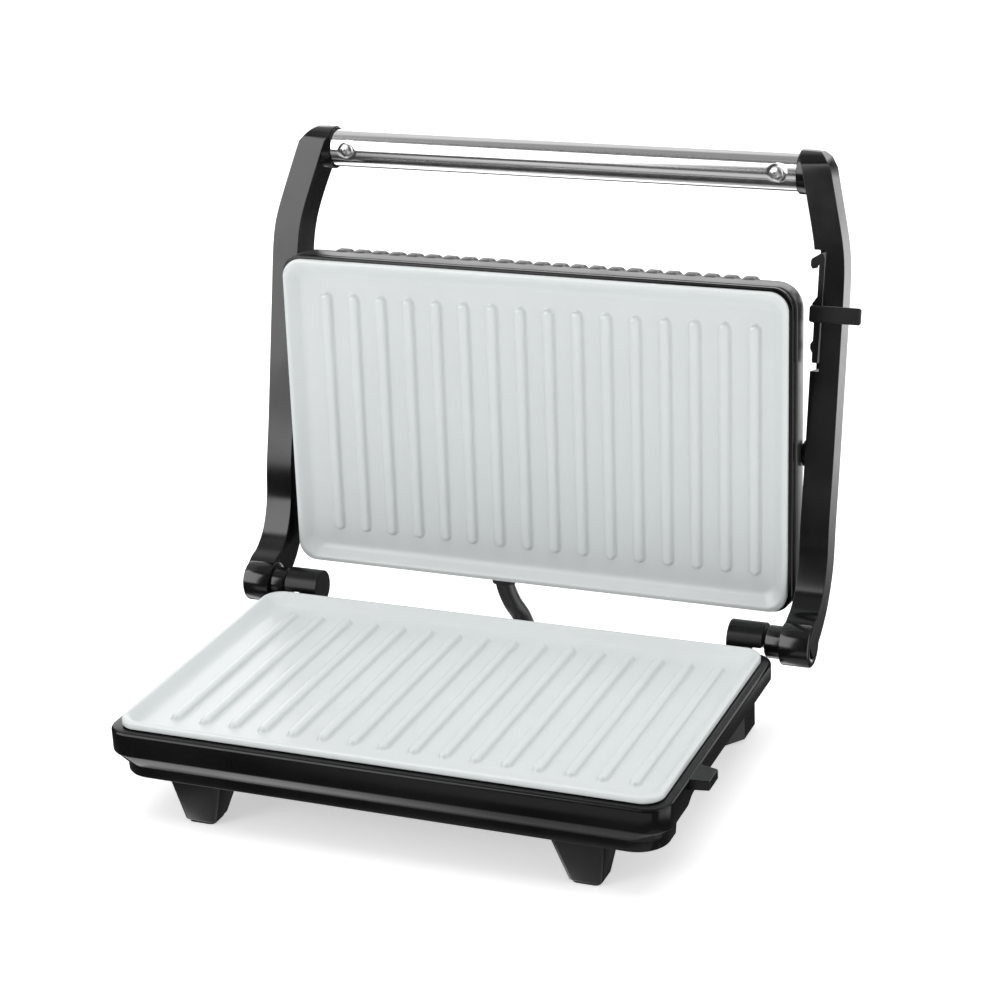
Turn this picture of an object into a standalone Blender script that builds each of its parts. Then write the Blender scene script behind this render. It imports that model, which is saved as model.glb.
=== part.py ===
"""Two-plate panini press, open, built as separate pieces.

Sizes are in millimetres and turned into metres when a mesh is made. The working frame has its
origin at the middle of the lower plate, level with the plate's rim: X to the right, Y to the
back, Z up. The root empty lifts that frame so that the foot pads stand on Z = 0.
"""

import math

import bmesh
import bpy
from mathutils import Matrix, Vector

MM = 0.001
GAP = 0.3  # clearance kept between pieces that touch

# Cooking plates
PLATE_W = 230.0
PLATE_D = 141.2
PLATE_RADIUS = 8.4
RIM_DROP = 3.3  # height of the rim's outer wall
PLATE_DEPTH = 9.0  # from the rim's top to the underside
TRAY_DEPTH = 4.5  # from the rim's top to the cooking floor
BODY_W = 224.4  # the plate below its rim
BODY_D = 135.6
RIB_COUNT = 16
RIB_PITCH = 13.05
RIB_LENGTH = 112.0
RIB_SHIFT = 2.0

# Base
RIM_HEIGHT = 44.5  # the lower plate's rim above the worktop
FLANGE_TOP = -RIM_DROP - GAP
SHELL_W = 237.6
SHELL_D = 147.8
SHELL_BOTTOM = -24.0
CAVITY_W = 203.6
CAVITY_D = 135.2
RECESS_TOP = -11.0
RECESS_FRONT = -52.0
COVER_TOP = -20.5
COVER_BOTTOM = -22.5
PAD_THICKNESS = 1.2
FOOT_BOTTOM = PAD_THICKNESS - RIM_HEIGHT
REAR_FOOT_TOP = -12.0
LUG_MIDDLE = -37.7

# Hinge and arms
HINGE_Y = 84.3
HINGE_Z = -2.6
BARREL_R = 7.8
NECK_R = 7.0
BOSS_R = 9.8
BARREL_INNER = 95.8
BARREL_OUTER = 111.2
NECK_OUTER = 118.3
PIN_R = 3.0
ARM_IN = 119.5
ARM_OUT = 132.0
ARM_DEPTH = 17.0
ARM_LEAN = 12.4  # degrees that the straight part of an arm leans back
BEND_Z = 151.0
BEND_SLOPE = 0.285
TUBE_Y = 152.1
TUBE_Z = 183.0
TUBE_R = 8.2
TUBE_WALL = 1.0
SOCKET_X = 107.3
SOCKET_R = 9.0
SCREW_X = 99.0

# Upper housing, measured in the pose it has when the press is closed: its own frame has the
# plate's back edge at Y = 0 and the rim plane at Z = 0, with the housing above it.
OPEN_ANGLE = 90.94
EDGE_Y = 101.3
EDGE_Z = 2.7
PIVOT_BACK = 66.9
PIVOT_UP = 19.1
PIVOT_R = 4.0
BEZEL_W = 235.8
BEZEL_D = 143.8
BEZEL_TOP = 10.0
COVER_HEIGHT = 31.0
RIDGE_COUNT = 23
RIDGE_PITCH = 8.5

# Lock slider, in a frame that runs along the right arm's front face
SLIDER_Z = 127.0
NOTCH_LOW = -21.7
NOTCH_HIGH = 28.9
NOTCH_DEPTH = 10.0
NOTCH_WIDTH = 3.7
BAND_LOW = -1.0
BAND_HIGH = 6.0

# Link cable between the two housings
CABLE_R = 4.2
CABLE_X_TOP = -20.5
CABLE_X_LOW = 2.0
CABLE_Z_LOW = -16.0
CABLE_UP = 16.0  # the exit hole above the upper rim plane

# The object's box, which the root empty centres on the origin
BOX_LOW_X = -ARM_OUT
BOX_HIGH_X = 140.3
BOX_LOW_Y = -SHELL_D / 2
BOX_HIGH_Y = 161.1

PARTS = None
CUTTERS = None


# ---------------------------------------------------------------- scene and materials


def clear_scene():
    for obj in list(bpy.data.objects):
        bpy.data.objects.remove(obj, do_unlink=True)


def new_collection(name):
    collection = bpy.data.collections.new(name)
    bpy.context.scene.collection.children.link(collection)
    return collection


def material(name, colour, roughness, metallic=0.0):
    made = bpy.data.materials.get(name)
    if made is None:
        made = bpy.data.materials.new(name)
        made.use_nodes = True
        shader = made.node_tree.nodes["Principled BSDF"]
        shader.inputs["Base Color"].default_value = (*colour, 1.0)
        shader.inputs["Roughness"].default_value = roughness
        shader.inputs["Metallic"].default_value = metallic
    return made


def black_plastic():
    return material("black_plastic", (0.015, 0.015, 0.017), 0.3)


def white_ceramic():
    return material("white_ceramic", (0.78, 0.82, 0.82), 0.25)


def polished_steel():
    return material("polished_steel", (0.75, 0.75, 0.76), 0.12, 1.0)


def zinc_steel():
    return material("zinc_steel", (0.55, 0.55, 0.56), 0.35, 1.0)


def sheet_aluminium():
    return material("sheet_aluminium", (0.7, 0.7, 0.7), 0.4, 1.0)


def black_rubber():
    return material("black_rubber", (0.02, 0.02, 0.02), 0.8)


def glazed_block():
    return material("glazed_block", (0.85, 0.84, 0.8), 0.35)


def sleeve_grey():
    return material("cable_sleeve", (0.08, 0.08, 0.085), 0.5)


def lamp_red():
    return material("lamp_red", (0.6, 0.03, 0.02), 0.2)


def lamp_green():
    return material("lamp_green", (0.03, 0.45, 0.08), 0.2)


# ---------------------------------------------------------------- building blocks


def empty(name, parent, location, tilt=0.0):
    """A frame that pieces are parented to; tilt turns it about X, in degrees."""
    made = bpy.data.objects.new(name, None)
    PARTS.objects.link(made)
    made.parent = parent
    made.location = Vector(location) * MM
    made.rotation_euler = (math.radians(tilt), 0.0, 0.0)
    return made


def object_from(bm, name, parent, offset=(0.0, 0.0, 0.0)):
    bmesh.ops.recalc_face_normals(bm, faces=bm.faces)
    mesh = bpy.data.meshes.new(name)
    bm.to_mesh(mesh)
    bm.free()
    mesh.shade_smooth()
    mesh.set_sharp_from_angle(angle=math.radians(35))
    obj = bpy.data.objects.new(name, mesh)
    PARTS.objects.link(obj)
    obj.parent = parent
    obj.location = Vector(offset) * MM
    return obj


def rounded_rectangle(half_x, half_y, radius, z, mid=(0.0, 0.0), steps=4):
    """Points of a level rounded rectangle, anticlockwise from above."""
    points = []
    for quarter, (sx, sy) in enumerate(((1, 1), (-1, 1), (-1, -1), (1, -1))):
        for step in range(steps + 1):
            angle = math.radians(90.0 * (quarter + step / steps))
            x = mid[0] + sx * (half_x - radius) + radius * math.cos(angle)
            y = mid[1] + sy * (half_y - radius) + radius * math.sin(angle)
            points.append((x, y, z))
    return points


def add_loft(bm, rings, capped=True):
    """A skin through rings of points that all have the same count."""
    loops = [[bm.verts.new(Vector(point) * MM) for point in ring] for ring in rings]
    for low, high in zip(loops, loops[1:]):
        for index in range(len(low)):
            after = (index + 1) % len(low)
            bm.faces.new((low[index], low[after], high[after], high[index]))
    if capped:
        bm.faces.new(loops[0][::-1])
    bm.faces.new(loops[-1])


def loft(name, parent, rings, offset=(0.0, 0.0, 0.0), capped=True):
    bm = bmesh.new()
    add_loft(bm, rings, capped)
    return object_from(bm, name, parent, offset)


def rounded_loft(name, parent, sections, mid=(0.0, 0.0), offset=(0.0, 0.0, 0.0), steps=4, capped=True):
    """A loft through rounded rectangles given as (half X, half Y, corner radius, Z)."""
    rings = [rounded_rectangle(hx, hy, r, z, mid, steps) for hx, hy, r, z in sections]
    return loft(name, parent, rings, offset, capped)


def box(name, parent, low, high, offset=(0.0, 0.0, 0.0), bevel=0.0):
    low = Vector(low) * MM
    high = Vector(high) * MM
    bm = bmesh.new()
    bmesh.ops.create_cube(bm, size=1.0)
    size = high - low
    bmesh.ops.transform(bm, matrix=Matrix.Diagonal((*size, 1.0)), verts=bm.verts)
    bmesh.ops.translate(bm, vec=(low + high) / 2, verts=bm.verts)
    if bevel:
        bmesh.ops.bevel(
            bm, geom=bm.edges[:], offset=bevel * MM, segments=1, profile=0.5, affect="EDGES", material=-1
        )
    return object_from(bm, name, parent, offset)


def add_cylinder(bm, radius, start, end, sides=24, tip=None):
    """A cylinder, or a cone to the radius tip, from the point start to the point end."""
    start = Vector(start) * MM
    end = Vector(end) * MM
    turn = (end - start).to_track_quat("Z", "Y").to_matrix().to_4x4()
    bmesh.ops.create_cone(
        bm,
        cap_ends=True,
        segments=sides,
        radius1=radius * MM,
        radius2=(radius if tip is None else tip) * MM,
        depth=(end - start).length,
        matrix=Matrix.Translation((start + end) / 2) @ turn,
    )


def cylinder(name, parent, radius, start, end, sides=24, tip=None, offset=(0.0, 0.0, 0.0)):
    bm = bmesh.new()
    add_cylinder(bm, radius, start, end, sides, tip)
    return object_from(bm, name, parent, offset)


def side_prism(name, parent, outline, x_low, x_high, offset=(0.0, 0.0, 0.0)):
    """A flat outline of (Y, Z) points, carried along X."""
    rings = [[(x, y, z) for y, z in outline] for x in (x_low, x_high)]
    return loft(name, parent, rings, offset)


def combine(target, tool, operation):
    """A live Boolean on target; the tool moves to the cutters' collection."""
    modifier = target.modifiers.new(tool.name, "BOOLEAN")
    modifier.operation = operation
    modifier.solver = "EXACT"
    modifier.object = tool
    for collection in list(tool.users_collection):
        collection.objects.unlink(tool)
    CUTTERS.objects.link(tool)
    tool.hide_render = True
    tool.display_type = "WIRE"


def cut(target, *tools):
    for tool in tools:
        combine(target, tool, "DIFFERENCE")


def join(target, *tools):
    for tool in tools:
        combine(target, tool, "UNION")


def finish(obj, made):
    obj.data.materials.append(made)
    return obj


def wire(name, parent, points, radius, offset=(0.0, 0.0, 0.0)):
    """A round bar through points, as a curve with filled caps."""
    curve = bpy.data.curves.new(name, "CURVE")
    curve.dimensions = "3D"
    curve.bevel_depth = radius * MM
    curve.bevel_resolution = 2
    curve.use_fill_caps = True
    spline = curve.splines.new("POLY")
    spline.points.add(len(points) - 1)
    for target, point in zip(spline.points, points):
        target.co = (*(Vector(point) * MM), 1.0)
    obj = bpy.data.objects.new(name, curve)
    PARTS.objects.link(obj)
    obj.parent = parent
    obj.location = Vector(offset) * MM
    return obj


def smooth_route(points, count):
    """Points evenly spread over a Catmull-Rom curve through the given ones."""
    route = [Vector(point) for point in points]
    route.insert(0, 2 * route[0] - route[1])
    route.append(2 * route[-1] - route[-2])
    spans = len(points) - 1
    result = []
    for index in range(count + 1):
        place = min(index * spans / count, spans - 1e-6)
        span = int(place)
        t = place - span
        a, b, c, d = route[span : span + 4]
        result.append(
            0.5 * (2 * b + (c - a) * t + (2 * a - 5 * b + 4 * c - d) * t**2 + (3 * b - a - 3 * c + d) * t**3)
        )
    return result


# ---------------------------------------------------------------- plates and heating


def cooking_plate(name, parent, offset, facing_up):
    """A coated cast plate with a rolled rim, a sunk floor and raised ribs along its depth."""
    half_x = PLATE_W / 2
    half_y = PLATE_D / 2
    floor = -TRAY_DEPTH
    sections = [
        (BODY_W / 2 - 0.8, BODY_D / 2 - 0.8, 5.4, -PLATE_DEPTH),
        (BODY_W / 2, BODY_D / 2, 6.0, -PLATE_DEPTH + 0.8),
        (BODY_W / 2, BODY_D / 2, 6.0, -RIM_DROP),
        (half_x - 0.5, half_y - 0.5, PLATE_RADIUS - 0.4, -RIM_DROP),
        (half_x, half_y, PLATE_RADIUS, -RIM_DROP + 0.5),
        (half_x, half_y, PLATE_RADIUS, -1.1),
        (half_x - 0.8, half_y - 0.8, PLATE_RADIUS - 0.5, -0.3),
        (half_x - 2.0, half_y - 2.0, PLATE_RADIUS - 1.0, 0.0),
        (half_x - 3.4, half_y - 3.4, PLATE_RADIUS - 1.0, -0.3),
        (half_x - 5.0, half_y - 5.0, PLATE_RADIUS - 1.0, -1.6),
        (half_x - 6.8, half_y - 6.8, PLATE_RADIUS - 1.0, -3.6),
        (half_x - 8.6, half_y - 8.6, PLATE_RADIUS - 1.0, floor),
    ]
    flip = 1 if facing_up else -1
    mid = (0.0, 0.0) if facing_up else (0.0, -half_y)
    rings = []
    for hx, hy, radius, z in sections:
        rings.append([(x, y, flip * h) for x, y, h in rounded_rectangle(hx, hy, radius, z, mid)])
    plate = loft(name, parent, rings, offset)
    bm = bmesh.new()
    for index in range(RIB_COUNT):
        x = (index - (RIB_COUNT - 1) / 2) * RIB_PITCH + RIB_SHIFT
        rib = []
        for half, height in ((2.9, floor - 0.6), (2.6, floor + 0.4), (1.9, floor + 1.7), (1.0, floor + 2.3)):
            ring = rounded_rectangle(half, RIB_LENGTH / 2 - 2.9 + half, half * 0.98, height, (x, mid[1]), 2)
            rib.append([(px, py, flip * h) for px, py, h in ring])
        add_loft(bm, rib)
    join(plate, object_from(bm, name + "_ribs", parent, offset))
    return finish(plate, white_ceramic())


def heating_element(name, parent, offset, z, mid_y, ends):
    """A tubular heater bent into one long U whose ends turn towards the back."""
    half_x = 82.0
    half_y = 34.0
    radius = 16.0
    points = [(-ends, mid_y + half_y + 12.0, z), (-ends, mid_y + half_y, z)]
    points[1:] = [(-ends, mid_y + half_y + 2.0, z), (-ends - 3.0, mid_y + half_y, z)]
    corners = (
        (-half_x + radius, half_y - radius, 90),
        (-half_x + radius, -half_y + radius, 180),
        (half_x - radius, -half_y + radius, 270),
        (half_x - radius, half_y - radius, 360),
    )
    for x, y, first in corners:
        for step in range(5):
            angle = math.radians(first + 22.5 * step)
            points.append((x + radius * math.cos(angle), mid_y + y + radius * math.sin(angle), z))
    points.append((ends + 3.0, mid_y + half_y, z))
    points.append((ends, mid_y + half_y + 2.0, z))
    points.append((ends, mid_y + half_y + 12.0, z))
    return finish(wire(name, parent, points, 3.0, offset), zinc_steel())


def reflector(name, parent, offset, z_floor, z_lip, mid, half_x, half_y):
    """A pressed sheet tray that throws the heat back at its plate."""
    step = 0.8 if z_lip > z_floor else -0.8
    sections = [
        (half_x - 3.0, half_y - 3.0, 6.0, z_floor),
        (half_x, half_y, 8.0, z_lip),
        (half_x - 0.8, half_y - 0.8, 7.2, z_lip),
        (half_x - 3.8, half_y - 3.8, 5.2, z_floor + step),
    ]
    return finish(rounded_loft(name, parent, sections, mid, offset, steps=3), sheet_aluminium())


# ---------------------------------------------------------------- base


def base_shell(base):
    half_x = SHELL_W / 2
    half_y = SHELL_D / 2
    bottom = SHELL_BOTTOM
    shell = rounded_loft(
        "base_shell",
        base,
        [
            (half_x - 4.0, half_y - 3.4, 11.5, bottom),
            (half_x - 3.5, half_y - 3.0, 12.0, bottom + 0.6),
            (half_x - 3.4, half_y - 2.9, 12.0, -19.0),
            (half_x - 2.9, half_y - 2.4, 12.0, -18.6),
            (half_x - 0.3, half_y - 0.2, 10.0, -13.8),
            (half_x, half_y, 9.8, -13.2),
            (half_x, half_y, 9.8, -4.7),
            (half_x - 0.4, half_y - 0.4, 9.4, FLANGE_TOP - 0.3),
            (half_x - 1.2, half_y - 1.2, 8.8, FLANGE_TOP),
        ],
        steps=5,
    )
    join(shell, *front_feet(base), *rear_feet(base), lock_lug(base), *screw_bosses(base))
    upper = [(BODY_W / 2 + 0.4, BODY_D / 2 + 0.4, 6.2, z) for z in (-9.0 - GAP, 1.0)]
    lower = [(CAVITY_W / 2, CAVITY_D / 2, 8.0, z) for z in (bottom - 0.2, -8.5)]
    cut(shell, rounded_loft("plate_well", base, upper))
    cavity = rounded_loft("base_cavity", base, lower)
    for boss in screw_bosses(base, clear=True):
        combine(cavity, boss, "DIFFERENCE")
    cut(shell, cavity)
    cut(shell, *side_recesses(base), *boss_holes(base))
    cut(shell, cylinder("cable_entry", base, 6.0, (CABLE_X_LOW, 60, CABLE_Z_LOW), (CABLE_X_LOW, 90, CABLE_Z_LOW)))
    cut(shell, cylinder("inlet_entry", base, 4.7, (48, 60, CABLE_Z_LOW), (48, 90, CABLE_Z_LOW)))
    return finish(shell, black_plastic())


def front_feet(base):
    feet = []
    for side in (-1, 1):
        top = rounded_rectangle(11.6, 12.2, 1.6, -23.2, (side * 81.4, -58.0), 2)
        bottom = rounded_rectangle(6.8, 6.2, 1.4, FOOT_BOTTOM, (side * 82.7, -59.2), 2)
        feet.append(loft("front_foot", base, [bottom, top]))
    return feet


def rear_feet(base):
    """Upright rear feet, which also carry the hinge brackets behind the shell."""
    feet = []
    for side in (-1, 1):
        outline = [(78.0, 57.0), (95.6, 57.0), (105.5, 71.0), (105.5, 86.4), (78.0, 86.4)]
        inner = [(79.0, 69.0), (104.2, 69.0), (105.2, 71.5), (105.2, 86.0), (79.0, 86.0)]
        low = [(side * x, y, FOOT_BOTTOM) for x, y in outline]
        shoulder = [(side * x, y, -23.2) for x, y in outline]
        feet.append(loft("rear_foot", base, [low, shoulder]))
        neck = [(side * x, y, -23.6) for x, y in inner]
        top = [(side * x, y, REAR_FOOT_TOP) for x, y in inner]
        feet.append(loft("rear_foot_post", base, [neck, top]))
    return feet


def lock_lug(base):
    """The short tongue that stands out of the base's right side."""
    y = LUG_MIDDLE
    root = [(114.0, y - 6.8, -8.4), (114.0, y + 6.8, -8.4), (114.0, y + 6.8, -3.9), (114.0, y - 6.8, -3.9)]
    wall = [(118.8, y - 6.8, -8.4), (118.8, y + 6.8, -8.4), (118.8, y + 6.8, -3.9), (118.8, y - 6.8, -3.9)]
    tip = [(126.2, y - 5.6, -8.2), (126.2, y + 5.2, -8.2), (126.2, y + 5.2, -4.3), (126.2, y - 5.6, -4.3)]
    return loft("lug", base, [root, wall, tip])


def boss_places():
    return [(x, y) for x in (-60.0, 60.0) for y in (-62.5, 62.5)]


def screw_bosses(base, clear=False):
    """Posts along the front and back walls that take the bottom screws."""
    bosses = []
    for x, y in boss_places():
        reach = y + math.copysign(6.0 if clear else 7.0, y)
        low = (x - 4.0, min(y - 4.0 * math.copysign(1, y), reach), COVER_TOP + GAP)
        high = (x + 4.0, max(y - 4.0 * math.copysign(1, y), reach), -10.0)
        bosses.append(box("boss_clear" if clear else "boss", base, low, high))
    return bosses


def boss_holes(base):
    holes = []
    for x, y in boss_places():
        holes.append(cylinder("boss_hole", base, 1.5, (x, y, COVER_TOP - 2), (x, y, -12.0), 12))
    return holes


def side_recesses(base):
    """The hand recess under each side, from behind the front corner to the back."""
    outline = [(RECESS_FRONT, SHELL_BOTTOM - 3.0), (95.0, SHELL_BOTTOM - 3.0), (95.0, RECESS_TOP)]
    radius = 13.0
    for step in range(6):
        angle = math.radians(90.0 + 18.0 * step)
        outline.append(
            (RECESS_FRONT + radius + radius * math.cos(angle), RECESS_TOP - radius + radius * math.sin(angle))
        )
    inner = CAVITY_W / 2 + 2.5
    walls = []
    for side in (-1, 1):
        prism = side_prism("side_recess", base, outline, side * inner, side * 130.0)
        combine(prism, rear_keep(base, side), "DIFFERENCE")
        walls.append(prism)
    return walls


def rear_keep(base, side):
    """The rear foot's own space, which the side recess leaves alone."""
    xs = sorted((side * 90.0, side * 106.0))
    return box("rear_keep", base, (xs[0], 55.0, -50.0), (xs[1], 100.0, RECESS_TOP - 0.05))


def bottom_cover(base):
    half_x = CAVITY_W / 2 - 0.4
    half_y = CAVITY_D / 2 - 0.4
    cover = rounded_loft(
        "bottom_cover", base, [(half_x, half_y, 7.6, z) for z in (COVER_BOTTOM, COVER_TOP)]
    )
    bm = bmesh.new()
    for index in range(9):
        x = (index - 4) * 11.0
        slot = [rounded_rectangle(1.8, 22.0, 1.7, z, (x, 0.0), 2) for z in (COVER_BOTTOM - 1, COVER_TOP + 1)]
        add_loft(bm, slot)
    for x, y in boss_places():
        add_cylinder(bm, 1.7, (x, y, COVER_BOTTOM - 1), (x, y, COVER_TOP + 1), 12)
    cut(cover, object_from(bm, "cover_openings", base))
    return finish(cover, black_plastic())


def headed_screw(name, parent, head_r, head, shank_r, start, end, offset=(0.0, 0.0, 0.0)):
    """A pan-head screw: the head lies behind start, and the shank runs from start to end."""
    start = Vector(start)
    end = Vector(end)
    along = (end - start).normalized()
    top = start - along * head
    screw = cylinder(name, parent, head_r, tuple(start), tuple(top), 16, head_r * 0.8, offset)
    join(screw, cylinder("shank", parent, shank_r, tuple(start - along * head * 0.5), tuple(end), 10, None, offset))
    for turn in (0.0, 90.0):
        arm = Vector((0.6, head_r * 0.62, 0.0)) if turn else Vector((head_r * 0.62, 0.6, 0.0))
        bm = bmesh.new()
        bmesh.ops.create_cube(bm, size=2 * MM)
        bmesh.ops.transform(bm, matrix=Matrix.Diagonal((arm.x, arm.y, head * 0.5, 1.0)), verts=bm.verts)
        matrix = Matrix.Translation(top * MM) @ along.to_track_quat("Z", "Y").to_matrix().to_4x4()
        bmesh.ops.transform(bm, matrix=matrix, verts=bm.verts)
        cut(screw, object_from(bm, "cross_slot", parent, offset))
    return finish(screw, zinc_steel())


def foot_pads(base):
    places = {
        "front_left_foot_pad": (-82.7, -59.2, 5.9, 5.3),
        "front_right_foot_pad": (82.7, -59.2, 5.9, 5.3),
        "rear_left_foot_pad": (-93.0, 79.0, 10.5, 6.2),
        "rear_right_foot_pad": (93.0, 79.0, 10.5, 6.2),
    }
    for name, (x, y, half_x, half_y) in places.items():
        sections = [
            (half_x - 0.4, half_y - 0.4, 2.0, -RIM_HEIGHT),
            (half_x, half_y, 2.2, -RIM_HEIGHT + 0.3),
            (half_x, half_y, 2.2, FOOT_BOTTOM - GAP),
        ]
        finish(rounded_loft(name, base, sections, (x, y), steps=3), black_rubber())


def hinge_bracket(base, side, name):
    """The base's half of a hinge: a barrel on a leg that stands on the rear foot."""
    axis = (HINGE_Y, HINGE_Z)
    barrel = cylinder(
        name, base, BARREL_R, (side * BARREL_INNER, *axis), (side * BARREL_OUTER, *axis), 32
    )
    notch = 103.9
    xs = sorted((side * (BARREL_INNER + 0.4), side * (notch - 0.4)))
    join(barrel, box("leg", base, (xs[0], HINGE_Y - 6.0, REAR_FOOT_TOP + GAP), (xs[1], HINGE_Y + 2.4, HINGE_Z)))
    cut(barrel, cylinder("pin_bore", base, PIN_R + GAP, (side * 98.0, *axis), (side * 115.0, *axis), 16))
    xs = sorted((side * notch, side * 114.0))
    cut(barrel, box("stop_notch", base, (xs[0], HINGE_Y - 12, HINGE_Z - 12), (xs[1], HINGE_Y + 12, HINGE_Z - GAP)))
    return finish(barrel, black_plastic())


def base_inside(base):
    heating_element("lower_heating_element", base, (0, 0, 0), -PLATE_DEPTH - GAP - 3.0, 0.0, 26.0)
    reflector("lower_reflector", base, (0, 0, 0), -18.2, -15.9, (0.0, -5.0), 98.0, 52.0)
    finish(
        rounded_loft(
            "thermostat", base, [(7.5, 7.5, 7.4, -PLATE_DEPTH - GAP), (7.5, 7.5, 7.4, -14.6), (4.0, 4.0, 3.9, -15.4)]
        ),
        glazed_block(),
    )
    block = box("terminal_block", base, (66, 51, -19.6), (92, 60, -12.6), bevel=0.6)
    bm = bmesh.new()
    for index in range(3):
        x = 71.0 + 8.0 * index
        add_cylinder(bm, 1.6, (x, 55.5, -15.0), (x, 55.5, -10.0), 10)
    cut(block, object_from(bm, "terminal_holes", base))
    finish(block, glazed_block())


def bush(name, parent, x, y, z, bore, offset=(0.0, 0.0, 0.0), collar=6.6):
    """A turned bush in a back wall's hole, with a collar outside and a bore for the cable."""
    ring = cylinder(name, parent, collar, (x, y + GAP, z), (x, y + 5.0, z), 24, collar - 0.8, offset)
    join(ring, cylinder("bush_tail", parent, bore + 0.6, (x, y - 3.5, z), (x, y + 2.0, z), 20, None, offset))
    cut(ring, cylinder("bush_bore", parent, bore, (x, y - 9, z), (x, y + 9, z), 16, None, offset))
    return finish(ring, black_rubber())


# ---------------------------------------------------------------- arms


def arm_stations():
    """(front Y, front Z, back Y, back Z) down the length of an arm, from hinge to handle."""
    lean = math.radians(ARM_LEAN)
    stations = [
        (HINGE_Y - 4.2, HINGE_Z + 6.6, HINGE_Y + 3.2, HINGE_Z - 7.6),
        (92.4, 10.6, 100.6, -1.0),
        (99.8, 16.6, 113.0, 6.0),
        (105.0, 28.0, 121.2, 22.4),
    ]
    for z in (44.0, 66.0, 90.0, 120.0, 147.5):
        y = 116.7 + (z - 82.2) * math.tan(lean)
        y -= 0.6 if z < 50.0 else 0.0
        stations.append((y, z, y + ARM_DEPTH * math.cos(lean), z - ARM_DEPTH * math.sin(lean)))
    stations += [
        (133.2, 156.0, 149.9, 152.6),
        (138.4, 172.0, 155.2, 168.4),
        (142.8, 185.6, 159.8, 182.8),
        (144.0, 189.6, 161.1, 187.6),
        (147.0, 191.8, 158.8, 191.2),
    ]
    return stations


def arm(name, hinge, side):
    """One arm: a swept bar with a hinge boss, a handle socket and a tongue inside the tube."""
    offset = (0.0, -HINGE_Y, -HINGE_Z)
    rings = []
    for front_y, front_z, back_y, back_z in arm_stations():
        depth = Vector((back_y - front_y, back_z - front_z))
        shift = max(0.0, (front_z + back_z) / 2 - BEND_Z) * BEND_SLOPE
        top = 1.6 if front_z > 191.0 else 0.0
        section = [
            (ARM_IN, 0.05),
            (ARM_IN + 0.8, 0.0),
            (ARM_OUT - 1.2 - top, 0.0),
            (ARM_OUT - top, 0.07),
            (ARM_OUT - top, 0.72),
            (ARM_OUT - 5.0, 1.0),
            (ARM_IN + 0.8, 1.0),
            (ARM_IN, 0.95),
        ]
        rings.append(
            [(side * (x - shift), front_y + depth.x * part, front_z + depth.y * part) for x, part in section]
        )
    body = loft(name, hinge, rings, offset)
    axis = (HINGE_Y, HINGE_Z)
    tube = (TUBE_Y, TUBE_Z)
    join(
        body,
        cylinder("boss", hinge, BOSS_R, (side * NECK_OUTER, *axis), (side * ARM_OUT, *axis), 32, None, offset),
        cylinder("neck", hinge, NECK_R, (side * (BARREL_OUTER + GAP), *axis), (side * (ARM_IN + 2), *axis), 28,
                 None, offset),
        stop_tongue(hinge, side, offset),
        cylinder("socket", hinge, SOCKET_R, (side * SOCKET_X, *tube), (side * 117.0, *tube), 28, None, offset),
    )
    cut(
        body,
        cylinder("tube_pocket", hinge, TUBE_R + GAP, (side * 100.0, *tube), (side * 112.5, *tube), 28, None, offset),
    )
    join(
        body,
        cylinder("spigot", hinge, TUBE_R - TUBE_WALL - GAP, (side * 90.0, *tube), (side * 114.0, *tube), 20,
                 None, offset),
    )
    cut(
        body,
        cylinder("pin_bore", hinge, PIN_R + GAP, (side * 108.0, *axis), (side * 131.0, *axis), 16, None, offset),
        cylinder("cap_seat", hinge, 5.2, (side * 128.5, *axis), (side * 140.0, *axis), 20, None, offset),
        cylinder("screw_hole", hinge, 1.9, (side * SCREW_X, TUBE_Y - 8, TUBE_Z + 0.8),
                 (side * SCREW_X, TUBE_Y + 2, TUBE_Z + 0.8), 12, None, offset),
        cylinder("pivot_bore", hinge, PIVOT_R + GAP, (side * 110.0, *pivot()), (side * 128.0, *pivot()), 20,
                 None, offset),
        cylinder("pivot_seat", hinge, 4.4, (side * 130.2, *pivot()), (side * 140.0, *pivot()), 20, None, offset),
    )
    return finish(body, black_plastic())


def stop_tongue(hinge, side, offset):
    """The finger under the barrel that stops the arm when it is fully open."""
    outline = []
    for radius in (4.2, NECK_R - 0.05):
        angles = range(189, 244, 9) if radius < 5 else range(243, 188, -9)
        for angle in angles:
            turn = math.radians(angle)
            outline.append((HINGE_Y + radius * math.cos(turn), HINGE_Z + radius * math.sin(turn)))
    return side_prism("stop_tongue", hinge, outline, side * 104.6, side * 114.0, offset)


def pivot():
    """(Y, Z) of the upper housing's pivot in the open pose."""
    turn = math.radians(-OPEN_ANGLE)
    y = EDGE_Y - PIVOT_BACK * math.cos(turn) - PIVOT_UP * math.sin(turn)
    z = EDGE_Z - PIVOT_BACK * math.sin(turn) + PIVOT_UP * math.cos(turn)
    return y, z


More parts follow.
